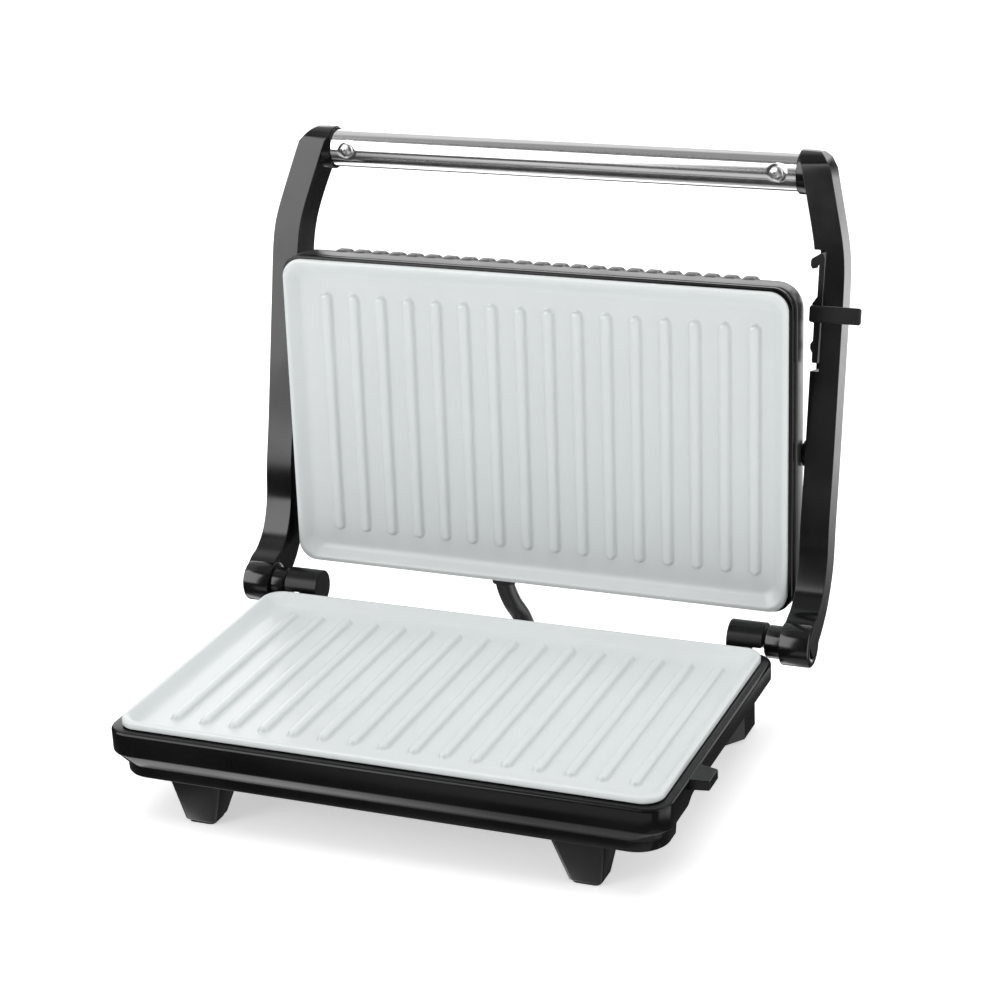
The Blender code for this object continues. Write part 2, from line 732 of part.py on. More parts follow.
def handle_tube(hinge):
    offset = (0.0, -HINGE_Y, -HINGE_Z)
    half = 111.8
    profile = [(TUBE_R - TUBE_WALL, -half), (TUBE_R, -half), (TUBE_R, half), (TUBE_R - TUBE_WALL, half)]
    bm = bmesh.new()
    verts = [bm.verts.new(Vector((x, 0.0, r)) * MM) for r, x in profile]
    for index, vert in enumerate(verts):
        bm.edges.new((vert, verts[(index + 1) % len(verts)]))
    mesh = bpy.data.meshes.new("handle_tube")
    bm.to_mesh(mesh)
    bm.free()
    tube = bpy.data.objects.new("handle_tube", mesh)
    PARTS.objects.link(tube)
    tube.parent = hinge
    tube.location = Vector((0.0, TUBE_Y - HINGE_Y, TUBE_Z - HINGE_Z)) * MM
    screw = tube.modifiers.new("turn", "SCREW")
    screw.axis = "X"
    screw.steps = 32
    screw.render_steps = 32
    screw.use_merge_vertices = True
    screw.merge_threshold = 0.00005
    screw.use_smooth_shade = True
    for side in (-1, 1):
        start = (side * SCREW_X, TUBE_Y - 12, TUBE_Z + 0.8)
        end = (side * SCREW_X, TUBE_Y, TUBE_Z + 0.8)
        cut(tube, cylinder("tube_hole", hinge, 2.1, start, end, 12, None, offset))
    return finish(tube, polished_steel())


def arm_fittings(hinge, side, word):
    offset = (0.0, -HINGE_Y, -HINGE_Z)
    headed_screw(
        word + "_handle_screw",
        hinge,
        3.1,
        1.6,
        1.6,
        (side * SCREW_X, TUBE_Y - TUBE_R - 0.5, TUBE_Z + 0.8),
        (side * SCREW_X, TUBE_Y - 0.4, TUBE_Z + 0.8),
        offset,
    )
    cap = cylinder(
        word + "_hinge_cap", hinge, 4.8, (side * (128.5 + GAP), HINGE_Y, HINGE_Z), (side * 130.6, HINGE_Y, HINGE_Z),
        20, 4.4, offset,
    )
    finish(cap, black_plastic())
    cap = cylinder(
        word + "_pivot_cap", hinge, 4.1, (side * (130.2 + GAP), *pivot()), (side * 131.9, *pivot()), 20, 3.6, offset
    )
    finish(cap, black_plastic())


def hinge_pin(base, side, word):
    axis = (HINGE_Y, HINGE_Z)
    pin = cylinder(word + "_hinge_pin", base, PIN_R, (side * 98.3, *axis), (side * 128.2, *axis), 16)
    return finish(pin, zinc_steel())


def cut_notch(body, rail):
    """The pocket in the right arm's inner front edge that the lock slider runs in."""
    low = (ARM_IN - 4.0, -4.0, NOTCH_LOW)
    high = (ARM_IN + NOTCH_WIDTH, NOTCH_DEPTH, NOTCH_HIGH)
    cut(body, box("slider_notch", rail, low, high))


def lock_slider(rail):
    """A flat moulding with a hook above and a spring tail below, and a band with a thumb tab."""
    outer = ARM_IN + NOTCH_WIDTH - GAP
    outline = [(120.2, -18.3), (122.3, -18.3), (122.5, -1.0), (outer, 6.0), (outer, 25.6), (121.9, 27.5), (121.0, 27.5)]
    outline += [(117.5, 25.3), (117.0, 24.4), (117.0, 22.4), (117.7, 21.0), (118.4, 21.0), (118.9, 22.3)]
    outline += [(119.7, 23.3), (120.6, 22.6), (120.6, 9.5), (118.6, 6.6), (118.6, -1.0), (119.8, -1.6)]
    outline += [(119.8, -9.0), (118.8, -10.4), (118.8, -12.4), (119.8, -14.2), (119.8, -17.6)]
    slider = loft("lock_slider", rail, [[(x, y, z) for x, z in outline] for y in (0.8, 7.0)])
    band = box("band", rail, (118.4, -3.0, BAND_LOW), (ARM_OUT + 8.3, -GAP, BAND_HIGH), bevel=0.7)
    web = box("web", rail, (118.4, -1.2, BAND_LOW + 0.1), (outer, 4.0, BAND_HIGH - 0.1), bevel=0.3)
    join(slider, web, band)
    return finish(slider, black_plastic())


# ---------------------------------------------------------------- upper housing


def upper_bezel(tilt, offset):
    half_x = BEZEL_W / 2
    half_y = BEZEL_D / 2
    mid = (0.0, -PLATE_D / 2)
    bezel = rounded_loft(
        "upper_bezel",
        tilt,
        [
            (half_x - 1.0, half_y - 1.0, 8.4, RIM_DROP + GAP),
            (half_x - 0.2, half_y - 0.2, 9.2, RIM_DROP + GAP + 0.5),
            (half_x, half_y, 9.4, 5.0),
            (half_x, half_y, 9.4, BEZEL_TOP),
        ],
        mid,
        offset,
        steps=5,
    )
    well = [(BODY_W / 2 + 0.4, BODY_D / 2 + 0.4, 6.2, z) for z in (0.0, BEZEL_TOP + 3.0)]
    cut(bezel, rounded_loft("bezel_well", tilt, well, mid, offset))
    return finish(bezel, black_plastic())


def cover_sections():
    """(half X, half Y, corner radius, Z) of the upper cover, from its seam to its crown."""
    return [
        (117.2, 71.2, 9.4, BEZEL_TOP + GAP),
        (117.0, 71.0, 9.6, 14.0),
        (116.4, 70.4, 10.0, 20.0),
        (114.6, 68.6, 11.5, 24.6),
        (110.6, 64.6, 13.5, 28.2),
        (104.6, 58.6, 15.0, 30.3),
        (96.0, 50.0, 16.0, COVER_HEIGHT),
    ]


def upper_shell(tilt, offset):
    mid = (0.0, -PLATE_D / 2)
    wall = 2.0
    shell = rounded_loft("upper_shell", tilt, cover_sections(), mid, offset, steps=5)
    hollow = [(hx - wall, hy - wall, max(r - wall, 2.0), z) for hx, hy, r, z in cover_sections()]
    hollow[0] = (*hollow[0][:3], BEZEL_TOP - 1.0)
    hollow[-1] = (*hollow[-1][:3], COVER_HEIGHT - wall)
    hollow[1:-1] = [(hx, hy, r, z - 0.9) for hx, hy, r, z in hollow[1:-1]]
    cut(shell, rounded_loft("cover_hollow", tilt, hollow, mid, offset, steps=3))
    join(shell, cover_ridges(tilt, mid, offset))
    panel = [(27.0, 11.0, 4.0, COVER_HEIGHT - 1.0), (27.0, 11.0, 4.0, 32.6), (26.2, 10.2, 3.4, 33.2)]
    join(shell, rounded_loft("lamp_panel", tilt, panel, (0.0, -112.0), offset))
    for x in (-12.0, 12.0):
        cut(shell, cylinder("lamp_hole", tilt, 3.0, (x, -112.0, 20.0), (x, -112.0, 40.0), 16, None, offset))
    for side in (-1, 1):
        start = (side * 108.0, -PIVOT_BACK, PIVOT_UP)
        cut(shell, cylinder("pivot_hole", tilt, PIVOT_R + GAP, start, (side * 125.0, *start[1:]), 20, None, offset))
        cut(shell, cylinder("cover_screw_hole", tilt, 1.6, (side * 70.0, -8.0, 17.0), (side * 70.0, 6.0, 17.0), 12,
                            None, offset))
    start = (CABLE_X_TOP, -8.0, CABLE_UP)
    cut(shell, cylinder("cable_exit", tilt, 6.0, start, (CABLE_X_TOP, 6.0, CABLE_UP), 20, None, offset))
    return finish(shell, black_plastic())


def cover_ridges(tilt, mid, offset):
    """Ridges that run over the cover's crown and down its front edge."""
    outer = [(70.7, 15.6), (71.7, 17.0), (71.6, 20.4), (69.6, 25.4), (65.2, 29.4), (58.9, 31.6), (50.0, 32.4)]
    inner = [(50.0, 30.2), (58.0, 29.4), (63.6, 27.3), (67.4, 23.8), (69.0, 19.6), (69.4, 15.6)]
    outline = [(mid[1] - y, z) for y, z in outer] + [(mid[1] + y, z) for y, z in ((50.0, 32.4), (56.0, 31.2))]
    outline += [(mid[1] + y, z) for y, z in ((54.0, 29.4), (50.0, 29.6))]
    outline += [(mid[1] - y, z) for y, z in inner]
    bm = bmesh.new()
    for index in range(RIDGE_COUNT):
        x = (index - (RIDGE_COUNT - 1) / 2) * RIDGE_PITCH
        add_loft(bm, [[(x + half, y, z) for y, z in outline] for half in (-2.6, 2.6)])
    return object_from(bm, "cover_ridges", tilt, offset)


def upper_fittings(tilt, offset):
    for side, word in ((-1, "left"), (1, "right")):
        place = (-PIVOT_BACK, PIVOT_UP)
        pin = cylinder(word + "_pivot_pin", tilt, PIVOT_R, (side * 112.0, *place), (side * 127.6, *place), 20,
                       None, offset)
        join(pin, cylinder("collar", tilt, 5.6, (side * 117.4, *place), (side * 119.2, *place), 24, None, offset))
        finish(pin, black_plastic())
        headed_screw(
            word + "_cover_screw", tilt, 3.0, 1.8, 1.3, (side * 70.0, 1.5, 17.0), (side * 70.0, -6.5, 17.0), offset
        )
    for x, name, made in ((-12.0, "power_lamp", lamp_red()), (12.0, "ready_lamp", lamp_green())):
        sections = [(2.6, 2.6, 2.5, 27.0), (2.6, 2.6, 2.5, 33.4), (2.0, 2.0, 1.9, 34.2), (0.9, 0.9, 0.8, 34.6)]
        finish(rounded_loft(name, tilt, sections, (x, -112.0), offset, steps=3), made)


def upper_inside(tilt, offset):
    mid_y = -PLATE_D / 2
    heating_element("upper_heating_element", tilt, offset, PLATE_DEPTH + GAP + 3.0, mid_y, 26.0)
    reflector("upper_reflector", tilt, offset, 18.8, 16.2, (0.0, mid_y - 5.0), 100.0, 54.0)
    fuse = rounded_loft(
        "thermal_fuse",
        tilt,
        [(6.5, 6.5, 6.4, PLATE_DEPTH + GAP), (6.5, 6.5, 6.4, 15.0), (3.4, 3.4, 3.3, 15.9)],
        (0.0, mid_y),
        offset,
        steps=3,
    )
    finish(fuse, glazed_block())


def link_cable(base):
    """The sleeved cable from the upper housing's back wall down to the base's back wall."""
    turn = math.radians(-OPEN_ANGLE)
    exit_y = EDGE_Y - CABLE_UP * math.sin(turn)
    exit_z = EDGE_Z + CABLE_UP * math.cos(turn)
    route = [
        (CABLE_X_TOP, exit_y - 0.1, exit_z + 4.0),
        (CABLE_X_TOP, exit_y, exit_z - 7.0),
        (CABLE_X_TOP + 2.4, 118.8, -14.0),
        (CABLE_X_TOP + 6.5, 120.6, -22.4),
        (CABLE_X_TOP + 12.0, 115.6, -30.6),
        (CABLE_X_TOP + 17.5, 104.6, -31.6),
        (CABLE_X_LOW - 0.6, 93.0, -24.4),
        (CABLE_X_LOW, 84.0, CABLE_Z_LOW - 0.6),
        (CABLE_X_LOW, 72.0, CABLE_Z_LOW),
    ]
    return finish(wire("link_cable", base, smooth_route(route, 26), CABLE_R), sleeve_grey())


# ---------------------------------------------------------------- assembly


def build():
    root_place = (-(BOX_LOW_X + BOX_HIGH_X) / 2, -(BOX_LOW_Y + BOX_HIGH_Y) / 2, RIM_HEIGHT)
    base = empty("base_frame", None, root_place)
    hinge = empty("hinge_axis", base, (0.0, HINGE_Y, HINGE_Z))
    pivot_y, pivot_z = pivot()
    tilt = empty("tilt_axis", hinge, (0.0, pivot_y - HINGE_Y, pivot_z - HINGE_Z), -OPEN_ANGLE)
    rail_y = 116.7 + (SLIDER_Z - 82.2) * math.tan(math.radians(ARM_LEAN))
    rail = empty("slider_rail", hinge, (0.0, rail_y - HINGE_Y, SLIDER_Z - HINGE_Z), -ARM_LEAN)

    base_shell(base)
    bottom_cover(base)
    foot_pads(base)
    cooking_plate("lower_plate", base, (0, 0, 0), True)
    base_inside(base)
    for number, (x, y) in enumerate(boss_places(), 1):
        headed_screw(
            "bottom_screw_%d" % number, base, 3.0, 1.4, 1.2, (x, y, COVER_BOTTOM - GAP), (x, y, -13.5)
        )
    bush("lower_cable_bush", base, CABLE_X_LOW, SHELL_D / 2, CABLE_Z_LOW, CABLE_R + 0.6)
    bush("power_inlet_bush", base, 48.0, SHELL_D / 2, CABLE_Z_LOW, 3.4, collar=5.8)

    for side, word in ((-1, "left"), (1, "right")):
        hinge_bracket(base, side, word + "_hinge_bracket")
        hinge_pin(base, side, word)
        body = arm(word + "_arm", hinge, side)
        arm_fittings(hinge, side, word)
        if side == 1:
            cut_notch(body, rail)
    handle_tube(hinge)
    lock_slider(rail)

    offset = (0.0, PIVOT_BACK, -PIVOT_UP)
    cooking_plate("upper_plate", tilt, offset, False)
    upper_bezel(tilt, offset)
    upper_shell(tilt, offset)
    upper_fittings(tilt, offset)
    upper_inside(tilt, offset)
    bush("upper_cable_bush", tilt, CABLE_X_TOP, 1.4, CABLE_UP, CABLE_R + 0.6, offset, collar=6.4)
    link_cable(base)


clear_scene()
PARTS = new_collection("panini_press")
CUTTERS = new_collection("cutters")
build()
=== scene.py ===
import math

import bmesh
import bpy
from mathutils import Matrix, Vector


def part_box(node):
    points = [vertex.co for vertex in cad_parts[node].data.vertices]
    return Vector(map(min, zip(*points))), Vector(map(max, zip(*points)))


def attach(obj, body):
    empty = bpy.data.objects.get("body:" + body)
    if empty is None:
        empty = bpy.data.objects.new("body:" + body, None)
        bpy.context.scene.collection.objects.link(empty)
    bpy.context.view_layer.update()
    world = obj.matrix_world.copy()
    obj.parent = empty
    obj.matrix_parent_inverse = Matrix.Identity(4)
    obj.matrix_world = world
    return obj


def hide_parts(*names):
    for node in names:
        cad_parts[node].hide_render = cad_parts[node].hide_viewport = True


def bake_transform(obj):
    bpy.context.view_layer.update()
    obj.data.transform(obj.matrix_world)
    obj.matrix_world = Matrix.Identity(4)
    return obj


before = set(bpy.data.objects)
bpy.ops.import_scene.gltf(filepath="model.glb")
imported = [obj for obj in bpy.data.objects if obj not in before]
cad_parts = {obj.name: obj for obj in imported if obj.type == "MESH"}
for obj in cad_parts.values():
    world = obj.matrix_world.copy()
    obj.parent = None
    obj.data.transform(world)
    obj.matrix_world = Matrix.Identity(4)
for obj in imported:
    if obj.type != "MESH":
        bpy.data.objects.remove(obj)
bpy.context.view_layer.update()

MM = 0.001

# Working frame: the middle of the lower plate, level with its rim, in millimetres.
PLATE_LOW, PLATE_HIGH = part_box("lower_plate")
ORIGIN = Vector(((PLATE_LOW.x + PLATE_HIGH.x) / 2, (PLATE_LOW.y + PLATE_HIGH.y) / 2, PLATE_HIGH.z))
PLATE_HALF_X = (PLATE_HIGH.x - PLATE_LOW.x) / 2 / MM
PLATE_HALF_Y = (PLATE_HIGH.y - PLATE_LOW.y) / 2 / MM
LOWER = Matrix.Translation(ORIGIN) @ Matrix.Scale(MM, 4)

# The upper housing's frame has the plate's hinge-side edge at Y = 0 and its rim plane at Z = 0.
OPEN_ANGLE = math.radians(-90.94)
UPPER_EDGE = Vector((0.0, 101.3, 2.7))
UPPER = LOWER @ Matrix.Translation(UPPER_EDGE) @ Matrix.Rotation(OPEN_ANGLE, 4, "X")

# Axes of the hinge and of the handle tube, and the middle of the screws through the tube.
HINGE_Y, HINGE_Z = 84.3, -2.6
TUBE_Y, TUBE_Z, TUBE_R = 152.1, 183.0, 8.2
SCREW_X, SCREW_Z = 99.0, 183.8

# Each arm: its inner and outer side, its depth and lean, where it bends inwards and how far,
# and the radius of its round end over the tube.
ARM_IN, ARM_OUT = 119.5, 132.0
ARM_DEPTH, ARM_LEAN = 17.0, math.radians(12.4)
BEND_Z, BEND_SLOPE, BEND_SOFTNESS = 151.0, 0.285, 4.5
ARM_END_R = 9.7

# The plates' ribs, and how deep their floor lies under the rim.
RIB_COUNT, RIB_PITCH, RIB_SHIFT, RIB_HALF = 16, 13.05, 2.0, 56.0
RIB_END = 2.9
TRAY_DEPTH = 4.5

# Half of the base's width and depth.
BASE_HALF_X, BASE_HALF_Y = 118.8, 73.9

# The middle of the upper housing in its own frame.
HOUSING_MID = (0.0, -PLATE_HALF_Y)

# The link cable, and the ridges over the cover.
CABLE_R, CABLE_SIDES = 4.2, 20
RIDGE_COUNT, RIDGE_PITCH = 23, 8.5

# Sockets of Blender's Mix node, by what they carry.
MIX_FACTOR = 0
MIX_VALUE_A, MIX_VALUE_B, MIX_VALUE_OUT = 2, 3, 0
MIX_COLOUR_A, MIX_COLOUR_B, MIX_COLOUR_OUT = 6, 7, 2

# Brightness of the studio on matt surfaces, and of its dark parts on glossy ones.
AMBIENT = 0.55
GLOSSY_DARK = 0.07

# The camera: to the right of the front, upwards and its roll in degrees, its place in metres,
# and its lens in millimetres.
CAMERA_AZIMUTH, CAMERA_ELEVATION, CAMERA_ROLL = 22.55, 20.81, -2.44
CAMERA_PLACE, CAMERA_LENS = (0.38795, -0.9218, 0.4893), 93.05


# ---------------------------------------------------------------- material groups


def new_group(name, inputs, outputs):
    """An empty node group with named sockets, and its input and output nodes."""
    group = bpy.data.node_groups.new(name, "ShaderNodeTree")
    for label, kind, value in inputs:
        socket = group.interface.new_socket(label, in_out="INPUT", socket_type=kind)
        if value is not None:
            socket.default_value = value
    for label, kind in outputs:
        group.interface.new_socket(label, in_out="OUTPUT", socket_type=kind)
    source = group.nodes.new("NodeGroupInput")
    target = group.nodes.new("NodeGroupOutput")
    return group, source, target


def noise_in(tree, vector, scale, detail, roughness=0.5):
    node = tree.nodes.new("ShaderNodeTexNoise")
    node.inputs["Detail"].default_value = detail
    node.inputs["Roughness"].default_value = roughness
    tree.links.new(vector, node.inputs["Vector"])
    if isinstance(scale, (int, float)):
        node.inputs["Scale"].default_value = scale
    else:
        tree.links.new(scale, node.inputs["Scale"])
    return node.outputs["Fac"]


def ramp_in(tree, value, low, high, to_low=0.0, to_high=1.0):
    node = tree.nodes.new("ShaderNodeMapRange")
    node.interpolation_type = "SMOOTHSTEP"
    node.inputs["From Min"].default_value = low
    node.inputs["From Max"].default_value = high
    node.inputs["To Min"].default_value = to_low
    node.inputs["To Max"].default_value = to_high
    tree.links.new(value, node.inputs["Value"])
    return node.outputs["Result"]


def math_in(tree, operation, first, second):
    node = tree.nodes.new("ShaderNodeMath")
    node.operation = operation
    for socket, value in zip(node.inputs, (first, second)):
        if isinstance(value, (int, float)):
            socket.default_value = value
        else:
            tree.links.new(value, socket)
    return node.outputs["Value"]


def surface_group():
    """Fine grain as a height, and broad soft patches where the surface changes a little."""
    inputs = (
        ("Vector", "NodeSocketVector", None),
        ("Grain scale", "NodeSocketFloat", 2600.0),
        ("Patch scale", "NodeSocketFloat", 26.0),
    )
    outputs = (("Height", "NodeSocketFloat"), ("Patches", "NodeSocketFloat"))
    group, source, target = new_group("fine_surface", inputs, outputs)
    grain = noise_in(group, source.outputs["Vector"], source.outputs["Grain scale"], 2.0)
    coarse = noise_in(group, source.outputs["Vector"], 420.0, 1.0)
    height = math_in(group, "ADD", grain, math_in(group, "MULTIPLY", coarse, 0.6))
    broad = noise_in(group, source.outputs["Vector"], source.outputs["Patch scale"], 4.0, 0.6)
    group.links.new(height, target.inputs["Height"])
    group.links.new(ramp_in(group, broad, 0.32, 0.7), target.inputs["Patches"])
    return group


def drawn_group():
    """Lines that run along X, as polishing leaves them on a drawn tube."""
    inputs = (("Vector", "NodeSocketVector", None), ("Line scale", "NodeSocketFloat", 1.0))
    outputs = (("Height", "NodeSocketFloat"), ("Lines", "NodeSocketFloat"))
    group, source, target = new_group("drawn_lines", inputs, outputs)
    stretch = group.nodes.new("ShaderNodeMapping")
    stretch.inputs["Scale"].default_value = (6.0, 900.0, 900.0)
    group.links.new(source.outputs["Vector"], stretch.inputs["Vector"])
    lines = noise_in(group, stretch.outputs["Vector"], source.outputs["Line scale"], 3.0, 0.65)
    group.links.new(lines, target.inputs["Height"])
    group.links.new(ramp_in(group, lines, 0.35, 0.68), target.inputs["Lines"])
    return group


def speck_group():
    """Scattered fine specks and a slight waviness, as in a sprayed coat."""
    inputs = (("Vector", "NodeSocketVector", None), ("Speck scale", "NodeSocketFloat", 900.0))
    outputs = (("Height", "NodeSocketFloat"), ("Specks", "NodeSocketFloat"))
    group, source, target = new_group("sprayed_coat", inputs, outputs)
    cells = group.nodes.new("ShaderNodeTexVoronoi")
    group.links.new(source.outputs["Vector"], cells.inputs["Vector"])
    group.links.new(source.outputs["Speck scale"], cells.inputs["Scale"])
    specks = ramp_in(group, cells.outputs["Distance"], 0.06, 0.2, 1.0, 0.0)
    sparse = ramp_in(group, noise_in(group, source.outputs["Vector"], 380.0, 2.0), 0.5, 0.72)
    peel = noise_in(group, source.outputs["Vector"], 330.0, 2.0)
    group.links.new(peel, target.inputs["Height"])
    group.links.new(math_in(group, "MULTIPLY", specks, sparse), target.inputs["Specks"])
    return group


SURFACE = surface_group()
DRAWN = drawn_group()
SPECKS = speck_group()


# ---------------------------------------------------------------- materials


def new_material(name, roughness, metallic=0.0, coat=0.0, coat_roughness=0.1, specular=0.5):
    """A material whose plain values are set on the shader's own sockets."""
    made = bpy.data.materials.new(name)
    made.use_nodes = True
    shader = made.node_tree.nodes["Principled BSDF"]
    shader.inputs["Roughness"].default_value = roughness
    shader.inputs["Metallic"].default_value = metallic
    shader.inputs["Coat Weight"].default_value = coat
    shader.inputs["Coat Roughness"].default_value = coat_roughness
    shader.inputs["Specular IOR Level"].default_value = specular
    place = made.node_tree.nodes.new("ShaderNodeTexCoord")
    return made, made.node_tree, shader, place.outputs["Object"]


def use_group(tree, group, vector, **values):
    node = tree.nodes.new("ShaderNodeGroup")
    node.node_tree = group
    tree.links.new(vector, node.inputs["Vector"])
    for label, value in values.items():
        node.inputs[label.replace("_", " ").capitalize()].default_value = value
    return node


def mix_colours(tree, factor, first, second):
    """A blend of two colours. The first is a plain colour or another node's output."""
    node = tree.nodes.new("ShaderNodeMix")
    node.data_type = "RGBA"
    tree.links.new(factor, node.inputs[MIX_FACTOR])
    if isinstance(first, tuple):
        node.inputs[MIX_COLOUR_A].default_value = (*first, 1.0)
    else:
        tree.links.new(first, node.inputs[MIX_COLOUR_A])
    node.inputs[MIX_COLOUR_B].default_value = (*second, 1.0)
    return node.outputs[MIX_COLOUR_OUT]


def vary(tree, shader, mask, colours, roughness, change):
    """Lets a mask move the shader's colour between two, and its roughness by change either way."""
    colour = mix_colours(tree, mask, *colours)
    tree.links.new(colour, shader.inputs["Base Color"])
    rough = ramp_in(tree, mask, 0.0, 1.0, roughness - change, roughness + change)
    tree.links.new(rough, shader.inputs["Roughness"])


def add_bump(tree, shader, height, distance):
    """A bump of up to distance, in millimetres."""
    node = tree.nodes.new("ShaderNodeBump")
    node.inputs["Strength"].default_value = 1.0
    node.inputs["Distance"].default_value = distance * MM
    tree.links.new(height, node.inputs["Height"])
    tree.links.new(node.outputs["Normal"], shader.inputs["Normal"])


def moulded(name, colour, roughness, spread=0.06, grain=0.02, **more):
    """Moulded plastic or rubber: fine grain, and a colour and gloss that drift a little."""
    made, tree, shader, vector = new_material(name, roughness, **more)
    node = use_group(tree, SURFACE, vector, grain_scale=2600.0, patch_scale=26.0)
    lighter = tuple(min(1.0, part * 1.35 + 0.0008) for part in colour)
    vary(tree, shader, node.outputs["Patches"], (colour, lighter), roughness, spread)
    add_bump(tree, shader, node.outputs["Height"], grain)
    return made


def ceramic(name, colour, dark):
    """A sprayed ceramic coat: pale, faintly specked, with a soft gloss."""
    made, tree, shader, vector = new_material(
        name, 0.3, coat=0.12, coat_roughness=0.16, specular=0.4
    )
    specks = use_group(tree, SPECKS, vector, speck_scale=820.0)
    drift = use_group(tree, SURFACE, vector, grain_scale=1500.0, patch_scale=18.0)
    lighter = tuple(min(1.0, part * 1.03) for part in colour)
    plain = mix_colours(tree, drift.outputs["Patches"], colour, lighter)
    faint = math_in(tree, "MULTIPLY", specks.outputs["Specks"], 0.4)
    tree.links.new(mix_colours(tree, faint, plain, dark), shader.inputs["Base Color"])
    rough = ramp_in(tree, drift.outputs["Patches"], 0.0, 1.0, 0.29, 0.32)
    tree.links.new(rough, shader.inputs["Roughness"])
    grain = math_in(tree, "MULTIPLY", drift.outputs["Height"], 0.15)
    add_bump(tree, shader, math_in(tree, "ADD", specks.outputs["Height"], grain), 0.035)
    return made


def polished(name, colour, roughness, spread, depth):
    """Polished metal with fine lines along the tube."""
    made, tree, shader, vector = new_material(name, roughness, metallic=1.0)
    lines = use_group(tree, DRAWN, vector, line_scale=1.0)
    darker = tuple(part * 0.86 for part in colour)
    vary(tree, shader, lines.outputs["Lines"], (darker, colour), roughness, -spread)
    add_bump(tree, shader, lines.outputs["Height"], depth)
    return made


def plated(name, colour, roughness):
    """Plated steel: metal with soft uneven patches and a fine grain."""
    made, tree, shader, vector = new_material(name, roughness, metallic=1.0)
    node = use_group(tree, SURFACE, vector, grain_scale=1800.0, patch_scale=160.0)
    darker = tuple(part * 0.8 for part in colour)
    vary(tree, shader, node.outputs["Patches"], (darker, colour), roughness, 0.08)
    add_bump(tree, shader, node.outputs["Height"], 0.01)
    return made


def make_materials():
    # look, colour, roughness, change of roughness, depth of grain in millimetres, specular level
    black = {
        "base": ("gloss", (0.003, 0.003, 0.0033), 0.18, 0.03, 0.002, 0.26),
        "arm": ("satin", (0.003, 0.003, 0.0034), 0.18, 0.03, 0.002, 0.45),
        "cover": ("cover", (0.022, 0.0215, 0.021), 0.32, 0.03, 0.005, 0.55),
        "hinge": ("hinge", (0.004, 0.004, 0.0045), 0.28, 0.03, 0.004, 0.24),
        "slider": ("slider", (0.009, 0.009, 0.0095), 0.4, 0.04, 0.006, 0.2),
    }
    made = {}
    for word, (look, *values, specular) in black.items():
        made[word] = moulded(look + "_black_moulding", *values, specular=specular)
    return made | {
        "ceramic": ceramic("pale_ceramic_coat", (0.64, 0.67, 0.668), (0.42, 0.44, 0.45)),
        "handle": polished("polished_tube", (0.8, 0.79, 0.8), 0.15, 0.03, 0.0008),
        "handle_screw": plated("polished_screw", (0.86, 0.86, 0.87), 0.34),
        "zinc": plated("zinc_screw", (0.5, 0.5, 0.51), 0.38),
        "heater": plated("heater_sheath", (0.24, 0.22, 0.2), 0.5),
        "sheet": plated("reflector_sheet", (0.66, 0.66, 0.67), 0.34),
        "block": moulded("ceramic_block", (0.72, 0.7, 0.64), 0.45, grain=0.02),
        "rubber": moulded("foot_rubber", (0.018, 0.018, 0.018), 0.75, grain=0.03),
        "sleeve": moulded("cable_sleeve", (0.02, 0.02, 0.021), 0.3, grain=0.01, coat=0.15),
        "red": moulded("red_lens", (0.42, 0.012, 0.008), 0.15, grain=0.002, coat=0.6),
        "green": moulded("green_lens", (0.02, 0.3, 0.04), 0.15, grain=0.002, coat=0.6),
    }


MATERIALS = make_materials()


# ---------------------------------------------------------------- shaping tools


def rounded_loop(bm, half_x, half_y, radius, z, mid=(0.0, 0.0), segments=8):
    """The edges of a level rounded rectangle."""
    verts = bmesh.ops.create_grid(bm, x_segments=1, y_segments=1, size=1.0)["verts"]
    bmesh.ops.scale(bm, vec=(half_x, half_y, 1.0), verts=verts)
    bmesh.ops.translate(bm, vec=(mid[0], mid[1], z), verts=verts)
    made = bmesh.ops.bevel(
        bm,
        geom=verts,
        offset=radius,
        segments=segments,
        profile=0.5,
        affect="VERTICES",
        material=-1,
    )
    face = made["verts"][0].link_faces[0]
    edges = list(face.edges)
    bmesh.ops.delete(bm, geom=[face], context="FACES_ONLY")
    return edges


def drawn_loop(bm, points):
    """The edges of a closed loop through a few points."""
    verts = [bm.verts.new(point) for point in points]
    return [bm.edges.new(pair) for pair in zip(verts, verts[1:] + verts[:1])]


def skin(bm, loops, capped=True):
    """Bridges each loop to the next, and closes the two ends."""
    for low, high in zip(loops, loops[1:]):
        bmesh.ops.bridge_loops(bm, edges=low + high)
    if capped:
        bmesh.ops.edgeloop_fill(bm, edges=loops[0])
        bmesh.ops.edgeloop_fill(bm, edges=loops[-1])
    bmesh.ops.recalc_face_normals(bm, faces=bm.faces)


def turn(bm, profile, centre, steps=64):
    """Spins a profile of (X, radius) points about the X axis through centre."""
    verts = [bm.verts.new((x, centre[1], centre[2] + radius)) for x, radius in profile]
    edges = [bm.edges.new(pair) for pair in zip(verts, verts[1:])]
    bmesh.ops.spin(
        bm,
        geom=verts + edges,
        cent=centre,
        axis=(1.0, 0.0, 0.0),
        angle=math.tau,
        steps=steps,
        use_merge=True,
        use_duplicate=False,
    )
    bmesh.ops.remove_doubles(bm, verts=bm.verts, dist=0.0005)
    bmesh.ops.recalc_face_normals(bm, faces=bm.faces)


def smooth_points(points, count):
    """Points spread over a Catmull-Rom curve through the given vectors."""
    route = [Vector(point) for point in points]
    route.insert(0, 2 * route[0] - route[1])
    route.append(2 * route[-1] - route[-2])
    spans = len(points) - 1
    result = []
    for index in range(count + 1):
        place = min(index * spans / count, spans - 1e-6)
        t = place - int(place)
        a, b, c, d = route[int(place) : int(place) + 4]
        curve = 2 * b + (c - a) * t + (2 * a - 5 * b + 4 * c - d) * t**2
        result.append(0.5 * (curve + (3 * b - a - 3 * c + d) * t**3))
    return result


